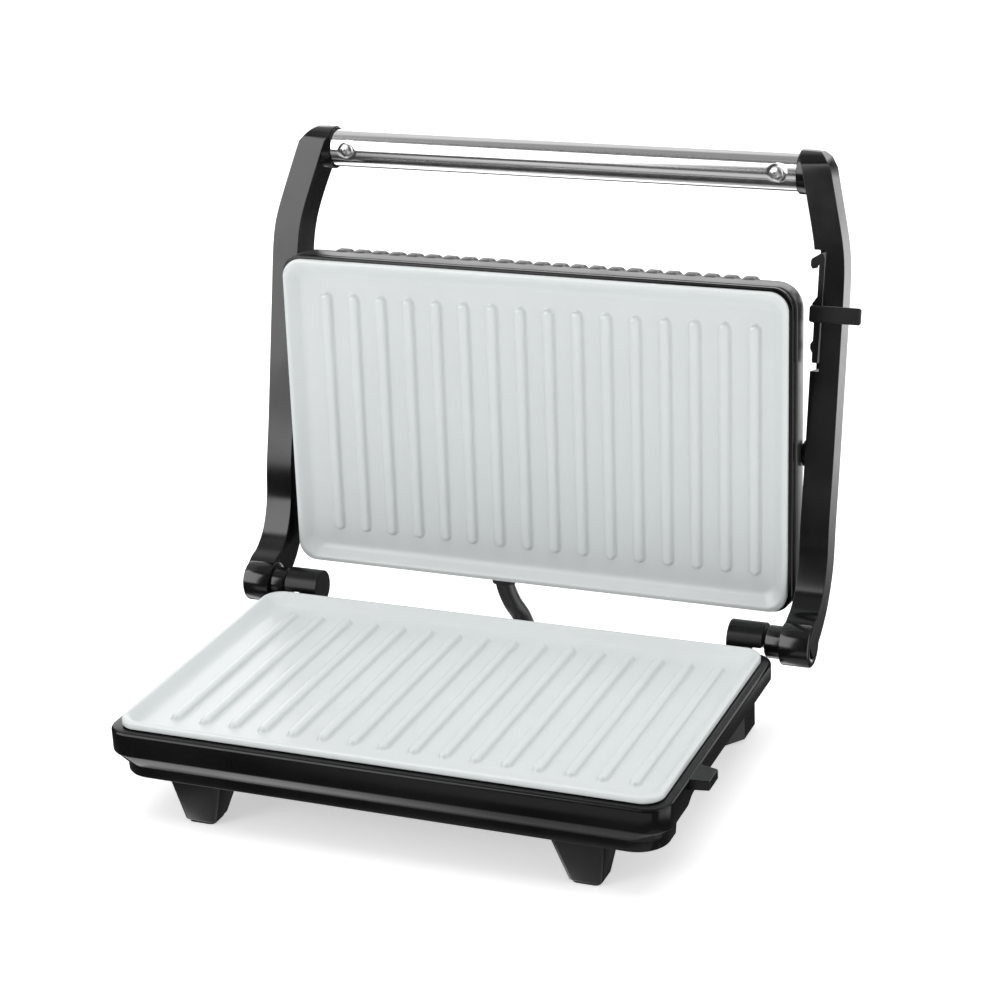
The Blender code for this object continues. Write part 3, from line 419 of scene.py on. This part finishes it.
def object_of(name, bm, place):
    """A named object from a bmesh in millimetres, placed in the row's frame."""
    bmesh.ops.transform(bm, matrix=place, verts=bm.verts)
    mesh = bpy.data.meshes.new(name)
    bm.to_mesh(mesh)
    bm.free()
    mesh.shade_smooth()
    obj = bpy.data.objects.new(name, mesh)
    bpy.context.scene.collection.objects.link(obj)
    return obj


def round_edges(obj, width, segments, angle=30.0):
    """Rounds by width, in millimetres, the edges that turn by more than angle, in degrees."""
    modifier = obj.modifiers.new("rounded_edges", "BEVEL")
    modifier.width = width * MM
    modifier.segments = segments
    modifier.limit_method = "ANGLE"
    modifier.angle_limit = math.radians(angle)
    modifier.harden_normals = True
    modifier.miter_outer = "MITER_ARC"


def settle(obj, material, body, replaced=(), sharp=38.0):
    """Gives a piece its material, its body and the CAD nodes that it stands for."""
    obj.data.materials.clear()
    obj.data.materials.append(MATERIALS[material])
    obj.data.set_sharp_from_angle(angle=math.radians(sharp))
    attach(obj, body)
    if replaced:
        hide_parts(*replaced)
    return obj


def carve(obj, cutter):
    """Cuts one object out of another and removes the cutter."""
    modifier = obj.modifiers.new("carve", "BOOLEAN")
    modifier.operation = "DIFFERENCE"
    modifier.solver = "EXACT"
    modifier.object = cutter
    bpy.context.view_layer.update()
    graph = bpy.context.evaluated_depsgraph_get()
    mesh = bpy.data.meshes.new_from_object(obj.evaluated_get(graph))
    obj.modifiers.remove(modifier)
    obj.data = mesh
    bpy.data.objects.remove(cutter, do_unlink=True)


def refined(node, name, material, body, width, segments=2):
    """A piece with a CAD node's shape, its flat faces made whole and its edges rounded."""
    bm = bmesh.new()
    bm.from_mesh(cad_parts[node].data)
    bmesh.ops.remove_doubles(bm, verts=bm.verts, dist=0.02 * MM)
    bmesh.ops.dissolve_limit(bm, angle_limit=math.radians(0.8), verts=bm.verts, edges=bm.edges)
    obj = object_of(name, bm, Matrix.Identity(4))
    round_edges(obj, width, segments)
    return settle(obj, material, body, (node,))


# ---------------------------------------------------------------- cooking plates


def plate_sections():
    """(inward step, height) from the plate's underside over its rim to its floor."""
    return [
        (2.8, -9.0), (2.6, -8.2), (2.6, -3.3), (0.6, -3.25), (0.2, -3.1), (0.03, -2.85),
        (0.0, -2.5), (0.0, -1.1), (0.05, -0.72), (0.22, -0.38), (0.5, -0.13), (0.85, -0.01),
        (1.5, 0.0), (1.9, -0.06), (2.3, -0.24), (2.8, -0.62), (3.4, -1.2), (4.2, -2.05),
        (5.0, -2.9), (5.7, -3.55), (6.4, -4.0), (7.2, -4.3), (8.2, -4.46), (9.4, -TRAY_DEPTH),
    ]  # fmt: skip


def rib_sections():
    """(half width, height above the floor) up one rib."""
    return [
        (3.3, -0.25), (3.0, 0.01), (2.7, 0.1), (2.45, 0.3), (2.28, 0.7), (2.12, 1.25),
        (1.85, 1.75), (1.4, 2.1), (0.85, 2.27), (0.3, 2.32),
    ]  # fmt: skip


def cooking_plate(name, node, body, place, flip, mid_y):
    """A plate with a rolled rim, a sunk floor and ribs; flip is -1 for one that faces down."""
    bm = bmesh.new()
    loops = []
    for step, height in plate_sections():
        half = (PLATE_HALF_X - step, PLATE_HALF_Y - step)
        radius = max(8.4 - step * 0.45, 4.0)
        loops.append(rounded_loop(bm, *half, radius, flip * height, (0.0, mid_y), 10))
    skin(bm, loops)
    for index in range(RIB_COUNT):
        x = (index - (RIB_COUNT - 1) / 2) * RIB_PITCH + RIB_SHIFT
        loops = []
        for half, rise in rib_sections():
            height = flip * (rise - TRAY_DEPTH)
            length = RIB_HALF - RIB_END + half
            loops.append(rounded_loop(bm, half, length, half * 0.96, height, (x, mid_y), 5))
        skin(bm, loops)
    obj = object_of(name, bm, place)
    return settle(obj, "ceramic", body, (node,), 50.0)


# ---------------------------------------------------------------- arms and handle


def arm_stations():
    """(front Y, front Z, back Y, back Z) from the hinge up to the handle."""
    stations = [
        (HINGE_Y - 7.2, HINGE_Z + 3.6, HINGE_Y + 2.0, HINGE_Z - 8.0),
        (85.6, 7.3, 93.4, -8.4),
        (92.6, 10.0, 101.6, -3.2),
        (99.9, 16.6, 109.6, 4.0),
        (105.1, 28.0, 119.2, 18.4),
    ]
    deep, down = ARM_DEPTH * math.cos(ARM_LEAN), ARM_DEPTH * math.sin(ARM_LEAN)
    for z in (44.0, 66.0, 90.0, 120.0, 147.5):
        y = 116.7 + (z - 82.2) * math.tan(ARM_LEAN) - (0.6 if z < 50.0 else 0.0)
        stations.append((y, z, y + deep, z - down))
    return stations + [(136.6, 166.0, 153.5, 162.8), (142.2, 183.6, 159.9, 179.4)]


def arm_paths():
    """Points up the front and back of an arm, which meet in a round end over the tube."""
    stations = arm_stations()
    fronts = smooth_points([(0.0, y, z) for y, z, _, _ in stations], 60)
    backs = smooth_points([(0.0, y, z) for _, _, y, z in stations], 60)
    fronts.append(Vector((0.0, 143.6, 187.6)))
    backs.append(Vector((0.0, 161.6, 183.6)))
    for angle in (44, 55, 66, 77, 86):
        along = math.cos(math.radians(angle))
        up = TUBE_Z + ARM_END_R * math.sin(math.radians(angle))
        fronts.append(Vector((0.0, TUBE_Y - ARM_END_R * along, up)))
        backs.append(Vector((0.0, TUBE_Y + ARM_END_R * along, up - 0.3 * along)))
    return fronts, backs


def bend(z):
    """How far an arm leans in at a height, with a soft start to the bend."""
    return BEND_SOFTNESS * BEND_SLOPE * math.log1p(math.exp((z - BEND_Z) / BEND_SOFTNESS))


def arm_bar(side, word):
    """The swept bar of one arm, with a chamfer along its outer back edge and rounded shoulders."""
    fronts, backs = arm_paths()
    bm = bmesh.new()
    loops = []
    for front, back in zip(fronts, backs):
        shift = bend((front.z + back.z) / 2)
        rise = max(0.0, min(front.z, back.z) - 186.0) / 6.7
        outer = ARM_OUT - 5.0 * (1.0 - math.sqrt(max(0.0, 1.0 - min(rise, 1.0) ** 2)))
        section = ((ARM_IN, 0.0), (outer, 0.0), (outer, 0.72), (outer - 4.5, 1.0), (ARM_IN, 1.0))
        points = [(side * (x - shift), *front.lerp(back, part).yz) for x, part in section]
        loops.append(drawn_loop(bm, points))
    skin(bm, loops)
    obj = object_of(word + "_arm_bar", bm, LOWER)
    if side == 1:
        carve(obj, slider_notch())
        # The housing beside it reflects the studio's light instead of this arm.
        obj.visible_glossy = False
    round_edges(obj, 1.1, 3, 32.0)
    return settle(obj, "arm", "arms", (word + "_arm",))


def slider_notch():
    """The pocket in the right arm's inner front edge."""
    along_arm = Matrix.Rotation(-ARM_LEAN, 4, "X")
    place = LOWER @ Matrix.Translation((0.0, 126.55, 127.0)) @ along_arm
    bm = bmesh.new()
    bmesh.ops.create_cube(bm, size=1.0)
    bmesh.ops.scale(bm, vec=(8.0, 14.0, 50.6), verts=bm.verts)
    bmesh.ops.translate(bm, vec=(119.2, 3.0, 3.6), verts=bm.verts)
    return object_of("slider_notch_shape", bm, place)


def hinge_boss(side, word):
    """The round boss at the foot of an arm, with its neck and the recess for the cap."""
    profile = [
        (112.0, 0.0), (112.0, 6.4), (112.3, 6.8), (112.9, 7.0), (118.9, 7.0), (118.9, 8.6),
        (119.1, 9.0), (119.6, 9.2), (130.6, 9.2), (131.3, 9.0), (131.7, 8.4), (131.7, 6.0),
        (131.4, 5.5), (129.4, 5.3), (129.0, 5.0), (129.0, 0.0),
    ]  # fmt: skip
    bm = bmesh.new()
    turn(bm, [(side * x, radius) for x, radius in profile], (0.0, HINGE_Y, HINGE_Z))
    obj = object_of(word + "_hinge_boss", bm, LOWER)
    return settle(obj, "arm", "arms")


def tube_socket(side, word):
    """The collar on an arm that the handle tube plugs into."""
    profile = [
        (113.0, 8.4), (107.6, 8.4), (107.4, 8.6), (107.4, 9.0), (107.8, 9.3), (116.8, 9.4),
        (116.8, 0.0), (113.0, 0.0), (113.0, 8.4),
    ]  # fmt: skip
    bm = bmesh.new()
    turn(bm, [(side * x, radius) for x, radius in profile], (0.0, TUBE_Y, TUBE_Z))
    obj = object_of(word + "_tube_socket", bm, LOWER)
    return settle(obj, "arm", "arms")


def dent(verts, centre, reach, depth):
    """Presses a round dimple into the front of the tube."""
    for vert in verts:
        if vert.co.y > TUBE_Y:
            continue
        distance = math.hypot(vert.co.x - centre[0], vert.co.z - centre[1]) / reach
        if distance < 1.0:
            vert.co.y += depth * (1.0 - distance**2) ** 1.5


def handle_rail():
    """The steel tube, with a dimple round each of its two screws."""
    places = [111.8, 111.5, 109.0]
    places += [106.5 - 0.5 * index for index in range(31)]
    places += [84.0, 60.0, 30.0, 0.0]
    places += [-x for x in reversed(places[:-1])]
    outer = [(x, TUBE_R) for x in places]
    profile = outer + [(-111.5, TUBE_R - 1.0), (111.5, TUBE_R - 1.0), outer[0]]
    bm = bmesh.new()
    turn(bm, profile, (0.0, TUBE_Y, TUBE_Z), 120)
    rim = [v for v in bm.verts if math.hypot(v.co.y - TUBE_Y, v.co.z - TUBE_Z) > TUBE_R - 0.5]
    for side in (-1, 1):
        dent(rim, (side * SCREW_X, SCREW_Z), 4.4, 0.7)
    obj = object_of("handle_rail", bm, LOWER)
    return settle(obj, "handle", "arms", ("handle_tube",))


def cross_screw(name, node, head, radius, length, place, material, body, slot):
    """A raised screw head with a cross recess, facing along -Y of its place."""
    bm = bmesh.new()
    profile = [(0.0, 0.0), (0.05, 0.45), (0.3, 0.78), (0.62, 0.95), (1.0, 1.0), (1.0, 0.42)]
    points = [(-head + head * depth, radius * share) for depth, share in profile]
    points += [(length, radius * 0.42), (length, 0.0)]
    turn(bm, points, (0.0, 0.0, 0.0), 32)
    upright = Matrix.Rotation(math.radians(90.0), 3, "Z")
    bmesh.ops.rotate(bm, cent=(0, 0, 0), matrix=upright, verts=bm.verts)
    obj = object_of(name, bm, place)
    for angle in (45.0, 135.0):
        bm = bmesh.new()
        made = bmesh.ops.create_cube(bm, size=1.0)["verts"]
        bmesh.ops.scale(bm, vec=(radius * 1.15, head * 1.2, radius * 0.27), verts=made)
        for vert in made:
            if vert.co.y > 0:
                vert.co.x *= 0.45
        turned = Matrix.Rotation(math.radians(angle), 3, "Y")
        bmesh.ops.rotate(bm, cent=(0, 0, 0), matrix=turned, verts=made)
        bmesh.ops.translate(bm, vec=(0.0, -head, 0.0), verts=made)
        carve(obj, object_of("cross_recess", bm, place))
    return settle(obj, material, body, (node,))


# ---------------------------------------------------------------- link cable


def cable_route():
    """The cable's middle line, from the upper housing's back wall to the base's."""
    exit_y = UPPER_EDGE.y - 16.0 * math.sin(OPEN_ANGLE)
    exit_z = UPPER_EDGE.z + 16.0 * math.cos(OPEN_ANGLE)
    return smooth_points(
        [
            (-20.5, exit_y - 0.1, exit_z + 4.0),
            (-20.5, exit_y, exit_z - 7.0),
            (-18.1, 118.8, -14.0),
            (-14.0, 120.6, -22.4),
            (-8.5, 115.6, -30.6),
            (-3.0, 104.6, -31.6),
            (1.4, 93.0, -24.4),
            (2.0, 84.0, -16.6),
            (2.0, 72.0, -16.0),
        ],
        72,
    )


def cable_piece(name, points):
    """A stretch of the round cable along the points."""
    bm = bmesh.new()
    loops = []
    across = None
    for index, point in enumerate(points):
        ahead = points[min(index + 1, len(points) - 1)]
        along = (ahead - points[max(index - 1, 0)]).normalized()
        if across is None:
            across = along.orthogonal().normalized()
        across = (across - along * across.dot(along)).normalized()
        other = along.cross(across)
        loop = []
        for step in range(CABLE_SIDES):
            angle = math.tau * step / CABLE_SIDES
            loop.append(point + (across * math.cos(angle) + other * math.sin(angle)) * CABLE_R)
        loops.append(drawn_loop(bm, loop))
    skin(bm, loops)
    obj = object_of(name, bm, LOWER)
    obj.data.materials.append(MATERIALS["sleeve"])
    obj.data.set_sharp_from_angle(angle=math.radians(60))
    return obj


def link_cable():
    """Two halves of the cable that meet at one point."""
    points = cable_route()
    middle = 30
    upper = cable_piece("link_cable_upper", points[: middle + 1])
    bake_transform(upper)
    lower = cable_piece("link_cable_lower", points[middle:])
    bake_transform(lower)
    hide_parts("link_cable")


# ---------------------------------------------------------------- assembly


def base_sections():
    """(half X, half Y, corner radius, Z) up the base's outside, over its flange and down inside."""
    outer = [
        (4.3, 3.7, 12.4, -24.0), (3.8, 3.3, 12.6, -23.8), (3.5, 3.0, 12.8, -23.3),
        (3.4, 2.9, 12.8, -19.4), (3.25, 2.8, 12.7, -18.9), (2.9, 2.4, 12.4, -18.5),
        (0.6, 0.5, 10.6, -14.4), (0.2, 0.2, 10.2, -13.9), (0.0, 0.0, 10.0, -13.3),
        (0.0, 0.0, 9.8, -5.0), (0.1, 0.1, 9.7, -4.4), (0.4, 0.4, 9.4, -3.95),
        (0.8, 0.8, 9.1, -3.7), (1.3, 1.3, 8.8, -3.6),
    ]  # fmt: skip
    sections = [(BASE_HALF_X - x, BASE_HALF_Y - y, radius, z) for x, y, radius, z in outer]
    sections += [(112.9, 68.5, 6.4, -3.6), (112.6, 68.2, 6.2, -3.9), (112.6, 68.2, 6.2, -9.3)]
    return sections + [(101.8, 67.6, 8.0, -9.5), (101.8, 67.6, 8.0, -24.0)]


def base_ring():
    """The base's wall and flange, open in the middle for the plate."""
    bm = bmesh.new()
    loops = [rounded_loop(bm, x, y, radius, z, segments=10) for x, y, radius, z in base_sections()]
    skin(bm, loops + loops[:1], capped=False)
    obj = object_of("base_housing", bm, LOWER)
    carve(obj, side_recesses())
    return settle(obj, "base", "base", ("base_shell",), 32.0)


def side_recesses():
    """The hand recess under each side, from behind the front corner to the back."""
    bm = bmesh.new()
    for side in (-1, 1):
        outline = [(-52.0, -27.0), (95.0, -27.0), (95.0, -11.0)]
        for step in range(11):
            angle = math.radians(90.0 + 9.0 * step)
            outline.append((-39.0 + 13.0 * math.cos(angle), -24.0 + 13.0 * math.sin(angle)))
        xs = (side * 104.3, side * 130.0)
        skin(bm, [drawn_loop(bm, [(x, y, z) for y, z in outline]) for x in xs])
    return object_of("side_recess_shape", bm, LOWER)


def tapered_block(bm, sections, segments=4):
    """A block through level rounded sections of (half X, half Y, radius, Z, middle)."""
    skin(bm, [rounded_loop(bm, *section, segments) for section in sections])


def base_feet():
    """The two tapered front feet, the two rear feet with their posts, and the lug."""
    bm = bmesh.new()
    for side in (-1, 1):
        top, low = (side * 81.4, -58.0), (side * 82.7, -59.2)
        sections = [
            (5.7, 5.1, 1.0, -43.3, low), (6.5, 5.9, 1.6, -43.1, low),
            (6.9, 6.3, 2.0, -42.6, low), (11.6, 12.2, 2.6, -22.9, top),
        ]  # fmt: skip
        tapered_block(bm, sections)
        outline = [(78.0, 57.0), (95.6, 57.0), (105.5, 71.0), (105.5, 86.4), (78.0, 86.4)]
        post = [(79.0, 69.0), (104.2, 69.0), (105.2, 71.5), (105.2, 86.0), (79.0, 86.0)]
        for points, *levels in ((outline, -43.3, -23.2), (post, -23.6, -12.0)):
            loops = [drawn_loop(bm, [(side * x, y, z) for x, y in points]) for z in levels]
            skin(bm, loops)
    # The lug, outwards from the base: X, then how far it reaches to the front and the back,
    # then its underside and its top.
    lug_y = -37.7
    lug = [
        (112.0, 6.8, 6.8, -8.4, -3.9), (118.6, 6.8, 6.8, -8.4, -3.9),
        (125.9, 5.7, 5.3, -8.25, -4.2), (126.2, 5.3, 4.9, -7.9, -4.6),
    ]  # fmt: skip
    loops = []
    for x, front, rear, low, high in lug:
        front, rear = lug_y - front, lug_y + rear
        corners = [(x, front, low), (x, rear, low), (x, rear, high), (x, front, high)]
        loops.append(drawn_loop(bm, corners))
    skin(bm, loops)
    obj = object_of("base_feet_and_lug", bm, LOWER)
    round_edges(obj, 0.7, 3, 30.0)
    return settle(obj, "base", "base")


def make_base():
    base_ring()
    base_feet()
    refined("bottom_cover", "bottom_panel", "base", "base", 0.3)
    for word in ("left", "right"):
        node, name = word + "_hinge_bracket", word + "_hinge_barrel"
        refined(node, name, "hinge", "base", 0.6, 3)
    for name in ("lower_cable_bush", "power_inlet_bush"):
        refined(name, name + "_moulding", "rubber", "base", 0.4)
    for word in ("front_left", "front_right", "rear_left", "rear_right"):
        refined(word + "_foot_pad", word + "_pad", "rubber", "base", 0.2)
    cooking_plate("lower_cooking_plate", "lower_plate", "base", LOWER, 1, 0.0)
    for number in range(1, 5):
        name, node = "bottom_screw_head_%d" % number, "bottom_screw_%d" % number
        low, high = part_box(node)
        middle = ((low + high) / 2 - ORIGIN) / MM
        face_down = Matrix.Rotation(math.radians(90.0), 4, "X")
        at = LOWER @ Matrix.Translation((middle.x, middle.y, -22.8)) @ face_down
        cross_screw(name, node, 1.35, 3.0, 8.5, at, "zinc", "base", "zinc_steel")


def make_arms():
    for side, word in ((-1, "left"), (1, "right")):
        arm_bar(side, word)
        hinge_boss(side, word)
        tube_socket(side, word)
        refined(word + "_hinge_cap", word + "_hinge_plug", "hinge", "arms", 0.3)
        refined(word + "_pivot_cap", word + "_pivot_plug", "hinge", "arms", 0.25)
        name, node = word + "_handle_screw_head", word + "_handle_screw"
        at = LOWER @ Matrix.Translation((side * SCREW_X, TUBE_Y - TUBE_R + 0.35, SCREW_Z))
        steel = ("handle_screw", "arms", "handle_screw_steel")
        cross_screw(name, node, 1.5, 3.1, 6.0, at, *steel)
    handle_rail()
    refined("lock_slider", "lock_slider_moulding", "slider", "slider", 0.35)


def bezel_ring():
    """The dark lip round the upper plate, with a groove where the cover meets it."""
    sections = [
        (112.8, 68.4, 6.4, 3.65), (114.6, 70.2, 8.0, 3.55), (115.9, 71.3, 8.9, 3.6),
        (116.3, 71.65, 9.2, 3.85), (116.5, 71.8, 9.3, 4.3), (116.5, 71.8, 9.3, 6.2),
        (116.3, 71.6, 9.2, 6.6), (115.6, 71.0, 8.8, 6.9), (115.2, 70.7, 8.6, 8.6),
        (112.6, 68.2, 6.2, 8.6),
    ]  # fmt: skip
    bm = bmesh.new()
    loops = [rounded_loop(bm, x, y, radius, z, HOUSING_MID, 10) for x, y, radius, z in sections]
    skin(bm, loops + loops[:1], capped=False)
    obj = object_of("bezel_lip", bm, UPPER)
    return settle(obj, "base", "upper", ("upper_bezel",), 40.0)


def cover_sections():
    """(half X, half Y, corner radius, Z) of the cover's outside, from its seam to its crown."""
    points = [
        (117.3, 71.35, 8.0), (117.35, 71.4, 12.0), (117.1, 71.2, 16.5), (116.4, 70.4, 20.5),
        (114.4, 68.4, 25.0), (110.6, 64.6, 28.4), (104.6, 58.6, 30.3), (96.0, 50.0, 31.0),
    ]  # fmt: skip
    smooth = smooth_points(points, 28)
    radii = smooth_points([(9.4, 0, 0), (10.6, 0, 0), (14.0, 0, 0), (17.0, 0, 0)], 28)
    sections = [(116.6, 70.7, 8.9, 7.5), (117.05, 71.1, 9.2, 7.6)]
    return sections + [(p.x, p.y, r.x, p.z) for p, r in zip(smooth, radii)]


def cover_shell():
    """The cover's skin: its inside down from the crown, then its outside back up."""
    outer = cover_sections()
    inner = []
    for x, y, radius, z in outer[::-3]:
        inner.append((x - 2.0, y - 2.0, max(radius - 2.0, 3.0), z - 1.4 * (z > 9.0)))
    bm = bmesh.new()
    skin(bm, [rounded_loop(bm, *section, HOUSING_MID, 10) for section in inner + outer])
    obj = object_of("cover_moulding", bm, UPPER)
    return settle(obj, "cover", "upper", ("upper_shell",), 60.0)


def ridge_path():
    """Points of (Y, Z, height over the cover) along a ridge, from the front to the back."""
    rising = [
        (-71.1, 15.4, 0.1), (-71.0, 17.6, 0.7), (-70.4, 20.6, 1.3), (-68.3, 25.2, 1.6),
        (-64.5, 28.6, 1.65), (-58.5, 30.5, 1.6), (-50.0, 31.2, 1.5),
    ]  # fmt: skip
    falling = [(44.0, 31.2, 1.3), (52.0, 31.0, 0.8), (56.0, 30.6, 0.1)]
    path = [(HOUSING_MID[1] + y, z, lift) for y, z, lift in rising + falling]
    return smooth_points(path, 30)


def cover_ridges():
    """Rounded ridges over the cover's front shoulder and crown."""
    middle = ridge_path()
    # (step across, share of the ridge's height; below 0 it is millimetres into the cover)
    half = [(2.9, -0.9), (2.9, 0.0), (2.5, 0.55), (1.7, 0.9)]
    section = [(-across, share) for across, share in half] + half[::-1]
    bm = bmesh.new()
    for index in range(RIDGE_COUNT):
        x = (index - RIDGE_COUNT // 2) * RIDGE_PITCH
        loops = []
        for step, point in enumerate(middle):
            ahead = middle[min(step + 1, len(middle) - 1)] - middle[max(step - 1, 0)]
            up_y, up_z = -ahead[1], ahead[0]
            length = math.hypot(up_y, up_z)
            up_y, up_z = up_y / length, up_z / length
            lift = max(point[2], 0.06)
            loop = []
            for across, share in section:
                high = lift * max(share, 0.0) * 1.1 + min(share, 0.0)
                loop.append((x + across, point[0] + up_y * high, point[1] + up_z * high))
            loops.append(drawn_loop(bm, loop))
        skin(bm, loops)
    obj = object_of("cover_ridges", bm, UPPER)
    return settle(obj, "cover", "upper", (), 50.0)


def lamp_panel():
    """The raised pad on the cover that holds the two lamps."""
    bm = bmesh.new()
    mid = (0.0, -112.0)
    sections = [
        (27.0, 11.0, 4.0, 30.0, mid), (27.0, 11.0, 4.0, 32.4, mid),
        (26.8, 10.8, 3.9, 32.8, mid), (26.2, 10.2, 3.4, 33.15, mid),
        (25.4, 9.4, 2.8, 33.2, mid),
    ]  # fmt: skip
    tapered_block(bm, sections, 8)
    obj = object_of("lamp_panel", bm, UPPER)
    return settle(obj, "base", "upper", (), 50.0)


def make_upper():
    cover_shell()
    bezel_ring()
    cover_ridges()
    lamp_panel()
    for word in ("left", "right"):
        refined(word + "_pivot_pin", word + "_pivot_stub", "hinge", "upper", 0.4)
        node, name = word + "_cover_screw", word + "_cover_screw_head"
        refined(node, name, "zinc", "upper", 0.1)
    name = "upper_cable_bush"
    refined(name, name + "_moulding", "rubber", "upper", 0.4)
    cooking_plate("upper_cooking_plate", "upper_plate", "upper", UPPER, -1, HOUSING_MID[1])
    for node, lens in (("power_lamp", "red"), ("ready_lamp", "green")):
        refined(node, node + "_lens", lens, "upper", 0.3)


def paint_inside():
    """The pieces that only show when the press is taken apart keep their CAD shape."""
    inside = {
        "lower_heating_element": "heater", "upper_heating_element": "heater",
        "lower_reflector": "sheet", "upper_reflector": "sheet",
        "thermostat": "block", "thermal_fuse": "block", "terminal_block": "block",
        "left_hinge_pin": "zinc", "right_hinge_pin": "zinc",
    }  # fmt: skip
    for node, material in inside.items():
        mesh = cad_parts[node].data
        mesh.materials.clear()
        mesh.materials.append(MATERIALS[material])


# ---------------------------------------------------------------- studio


def add_camera():
    """A camera to the front right of the open press, looking a little down on it."""
    azimuth, elevation = math.radians(CAMERA_AZIMUTH), math.radians(CAMERA_ELEVATION)
    flat = math.cos(elevation)
    back = Vector((math.sin(azimuth) * flat, -math.cos(azimuth) * flat, math.sin(elevation)))
    right = (-back).cross(Vector((0.0, 0.0, 1.0))).normalized()
    level = Matrix((right, right.cross(-back), back)).transposed().to_4x4()
    roll = Matrix.Rotation(math.radians(CAMERA_ROLL), 4, "Z")
    data = bpy.data.cameras.new("camera")
    data.lens = CAMERA_LENS
    data.clip_start = 0.05
    camera = bpy.data.objects.new("camera", data)
    bpy.context.scene.collection.objects.link(camera)
    camera.matrix_world = Matrix.Translation(CAMERA_PLACE) @ level @ roll
    bpy.context.scene.camera = camera


def area_light(name, place, target, size, power):
    """A soft light, in metres and watts, which reflections leave out."""
    data = bpy.data.lights.new(name, "AREA")
    data.shape = "RECTANGLE"
    data.size, data.size_y = size
    data.energy = power
    light = bpy.data.objects.new(name, data)
    bpy.context.scene.collection.objects.link(light)
    light.location = place
    light.visible_glossy = False
    light.rotation_euler = (Vector(target) - Vector(place)).to_track_quat("-Z", "Y").to_euler()


def band_in(tree, angle, low, high, soft):
    """1 between two angles in degrees and 0 outside them, with soft edges."""
    rise, fall = (
        ramp_in(tree, angle, math.radians(edge - soft), math.radians(edge + soft))
        for edge in (low, high)
    )
    return math_in(tree, "MULTIPLY", rise, math_in(tree, "SUBTRACT", 1.0, fall))


def panel_in(tree, azimuth, elevation, sides, levels, soft, strength):
    """A soft-edged bright panel in the studio, between two azimuths and two elevations."""
    across = band_in(tree, azimuth, *sides, soft)
    up = band_in(tree, elevation, *levels, soft)
    return math_in(tree, "MULTIPLY", math_in(tree, "MULTIPLY", across, up), strength)


def add_world():
    """A white studio: even light on matt surfaces, and soft panels that glossy surfaces reflect."""
    world = bpy.data.worlds.new("studio")
    world.use_nodes = True
    tree = world.node_tree
    background = tree.nodes["Background"]
    background.inputs["Color"].default_value = (1.0, 1.0, 1.0, 1.0)
    place = tree.nodes.new("ShaderNodeTexCoord")
    parts = tree.nodes.new("ShaderNodeSeparateXYZ")
    tree.links.new(place.outputs["Generated"], parts.inputs["Vector"])
    x, y, z = (parts.outputs[axis] for axis in "XYZ")
    elevation = math_in(tree, "ARCSINE", z, 0.0)
    front = math_in(tree, "ARCTAN2", x, math_in(tree, "MULTIPLY", y, -1.0))
    rear = math_in(tree, "ARCTAN2", x, y)
    # azimuth from the front or the rear, sides, levels and softness in degrees, strength
    panels = (
        (front, (-75.0, -20.5), (2.5, 51.0), 2.0, 4.6),
        (front, (-27.0, 30.0), (-33.0, -12.0), 3.0, 0.7),
        (front, (-150.0, -82.0), (-67.0, -50.0), 3.0, 1.7),
        (front, (62.0, 125.0), (-30.0, 40.0), 7.0, 1.8),
        (rear, (-50.0, 35.0), (5.0, 30.0), 4.0, 2.1),
        (rear, (-15.0, 19.0), (-21.0, -6.0), 3.0, 2.0),
        (rear, (-120.0, 120.0), (33.0, 62.0), 5.0, 0.8),
        (rear, (-190.0, 190.0), (62.0, 100.0), 6.0, 0.3),
        (rear, (-190.0, 190.0), (-100.0, -53.0), 4.0, 0.5),
    )
    glossy = GLOSSY_DARK
    for azimuth, *panel in panels:
        glossy = math_in(tree, "ADD", panel_in(tree, azimuth, elevation, *panel), glossy)
    path = tree.nodes.new("ShaderNodeLightPath")
    strength = tree.nodes.new("ShaderNodeMix")
    tree.links.new(path.outputs["Is Glossy Ray"], strength.inputs[MIX_FACTOR])
    strength.inputs[MIX_VALUE_A].default_value = AMBIENT
    tree.links.new(glossy, strength.inputs[MIX_VALUE_B])
    seen = tree.nodes.new("ShaderNodeMix")
    tree.links.new(path.outputs["Is Camera Ray"], seen.inputs[MIX_FACTOR])
    tree.links.new(strength.outputs[MIX_VALUE_OUT], seen.inputs[MIX_VALUE_A])
    seen.inputs[MIX_VALUE_B].default_value = 1.0
    tree.links.new(seen.outputs[MIX_VALUE_OUT], background.inputs["Strength"])
    bpy.context.scene.world = world


def add_studio():
    """The world, four soft lights and a pale floor."""
    add_world()
    area_light("top_softbox", (0.0, 0.1, 1.5), (0.0, 0.0, 0.1), (1.6, 1.4), 14.0)
    area_light("front_left_softbox", (-1.0, -1.6, 0.8), (0.0, 0.0, 0.12), (0.8, 1.0), 9.0)
    area_light("right_softbox", (1.5, -0.2, 0.7), (0.0, 0.05, 0.1), (0.7, 0.9), 3.0)
    area_light("back_softbox", (-0.3, 1.6, 0.9), (0.0, 0.0, 0.2), (1.6, 1.0), 6.0)
    bm = bmesh.new()
    bmesh.ops.create_grid(bm, x_segments=1, y_segments=1, size=6.0)
    floor = object_of("floor", bm, Matrix.Identity(4))
    floor.visible_glossy = False
    pale = bpy.data.materials.new("pale_floor")
    pale.use_nodes = True
    shader = pale.node_tree.nodes["Principled BSDF"]
    shader.inputs["Base Color"].default_value = (0.93, 0.93, 0.93, 1.0)
    shader.inputs["Roughness"].default_value = 0.8
    shader.inputs["Specular IOR Level"].default_value = 0.1
    shader.inputs["Emission Color"].default_value = (1.0, 1.0, 1.0, 1.0)
    shader.inputs["Emission Strength"].default_value = 0.5
    floor.data.materials.append(pale)
    bpy.context.scene.view_settings.view_transform = "Standard"


add_camera()
make_base()
make_arms()
make_upper()
link_cable()
paint_inside()
add_studio()
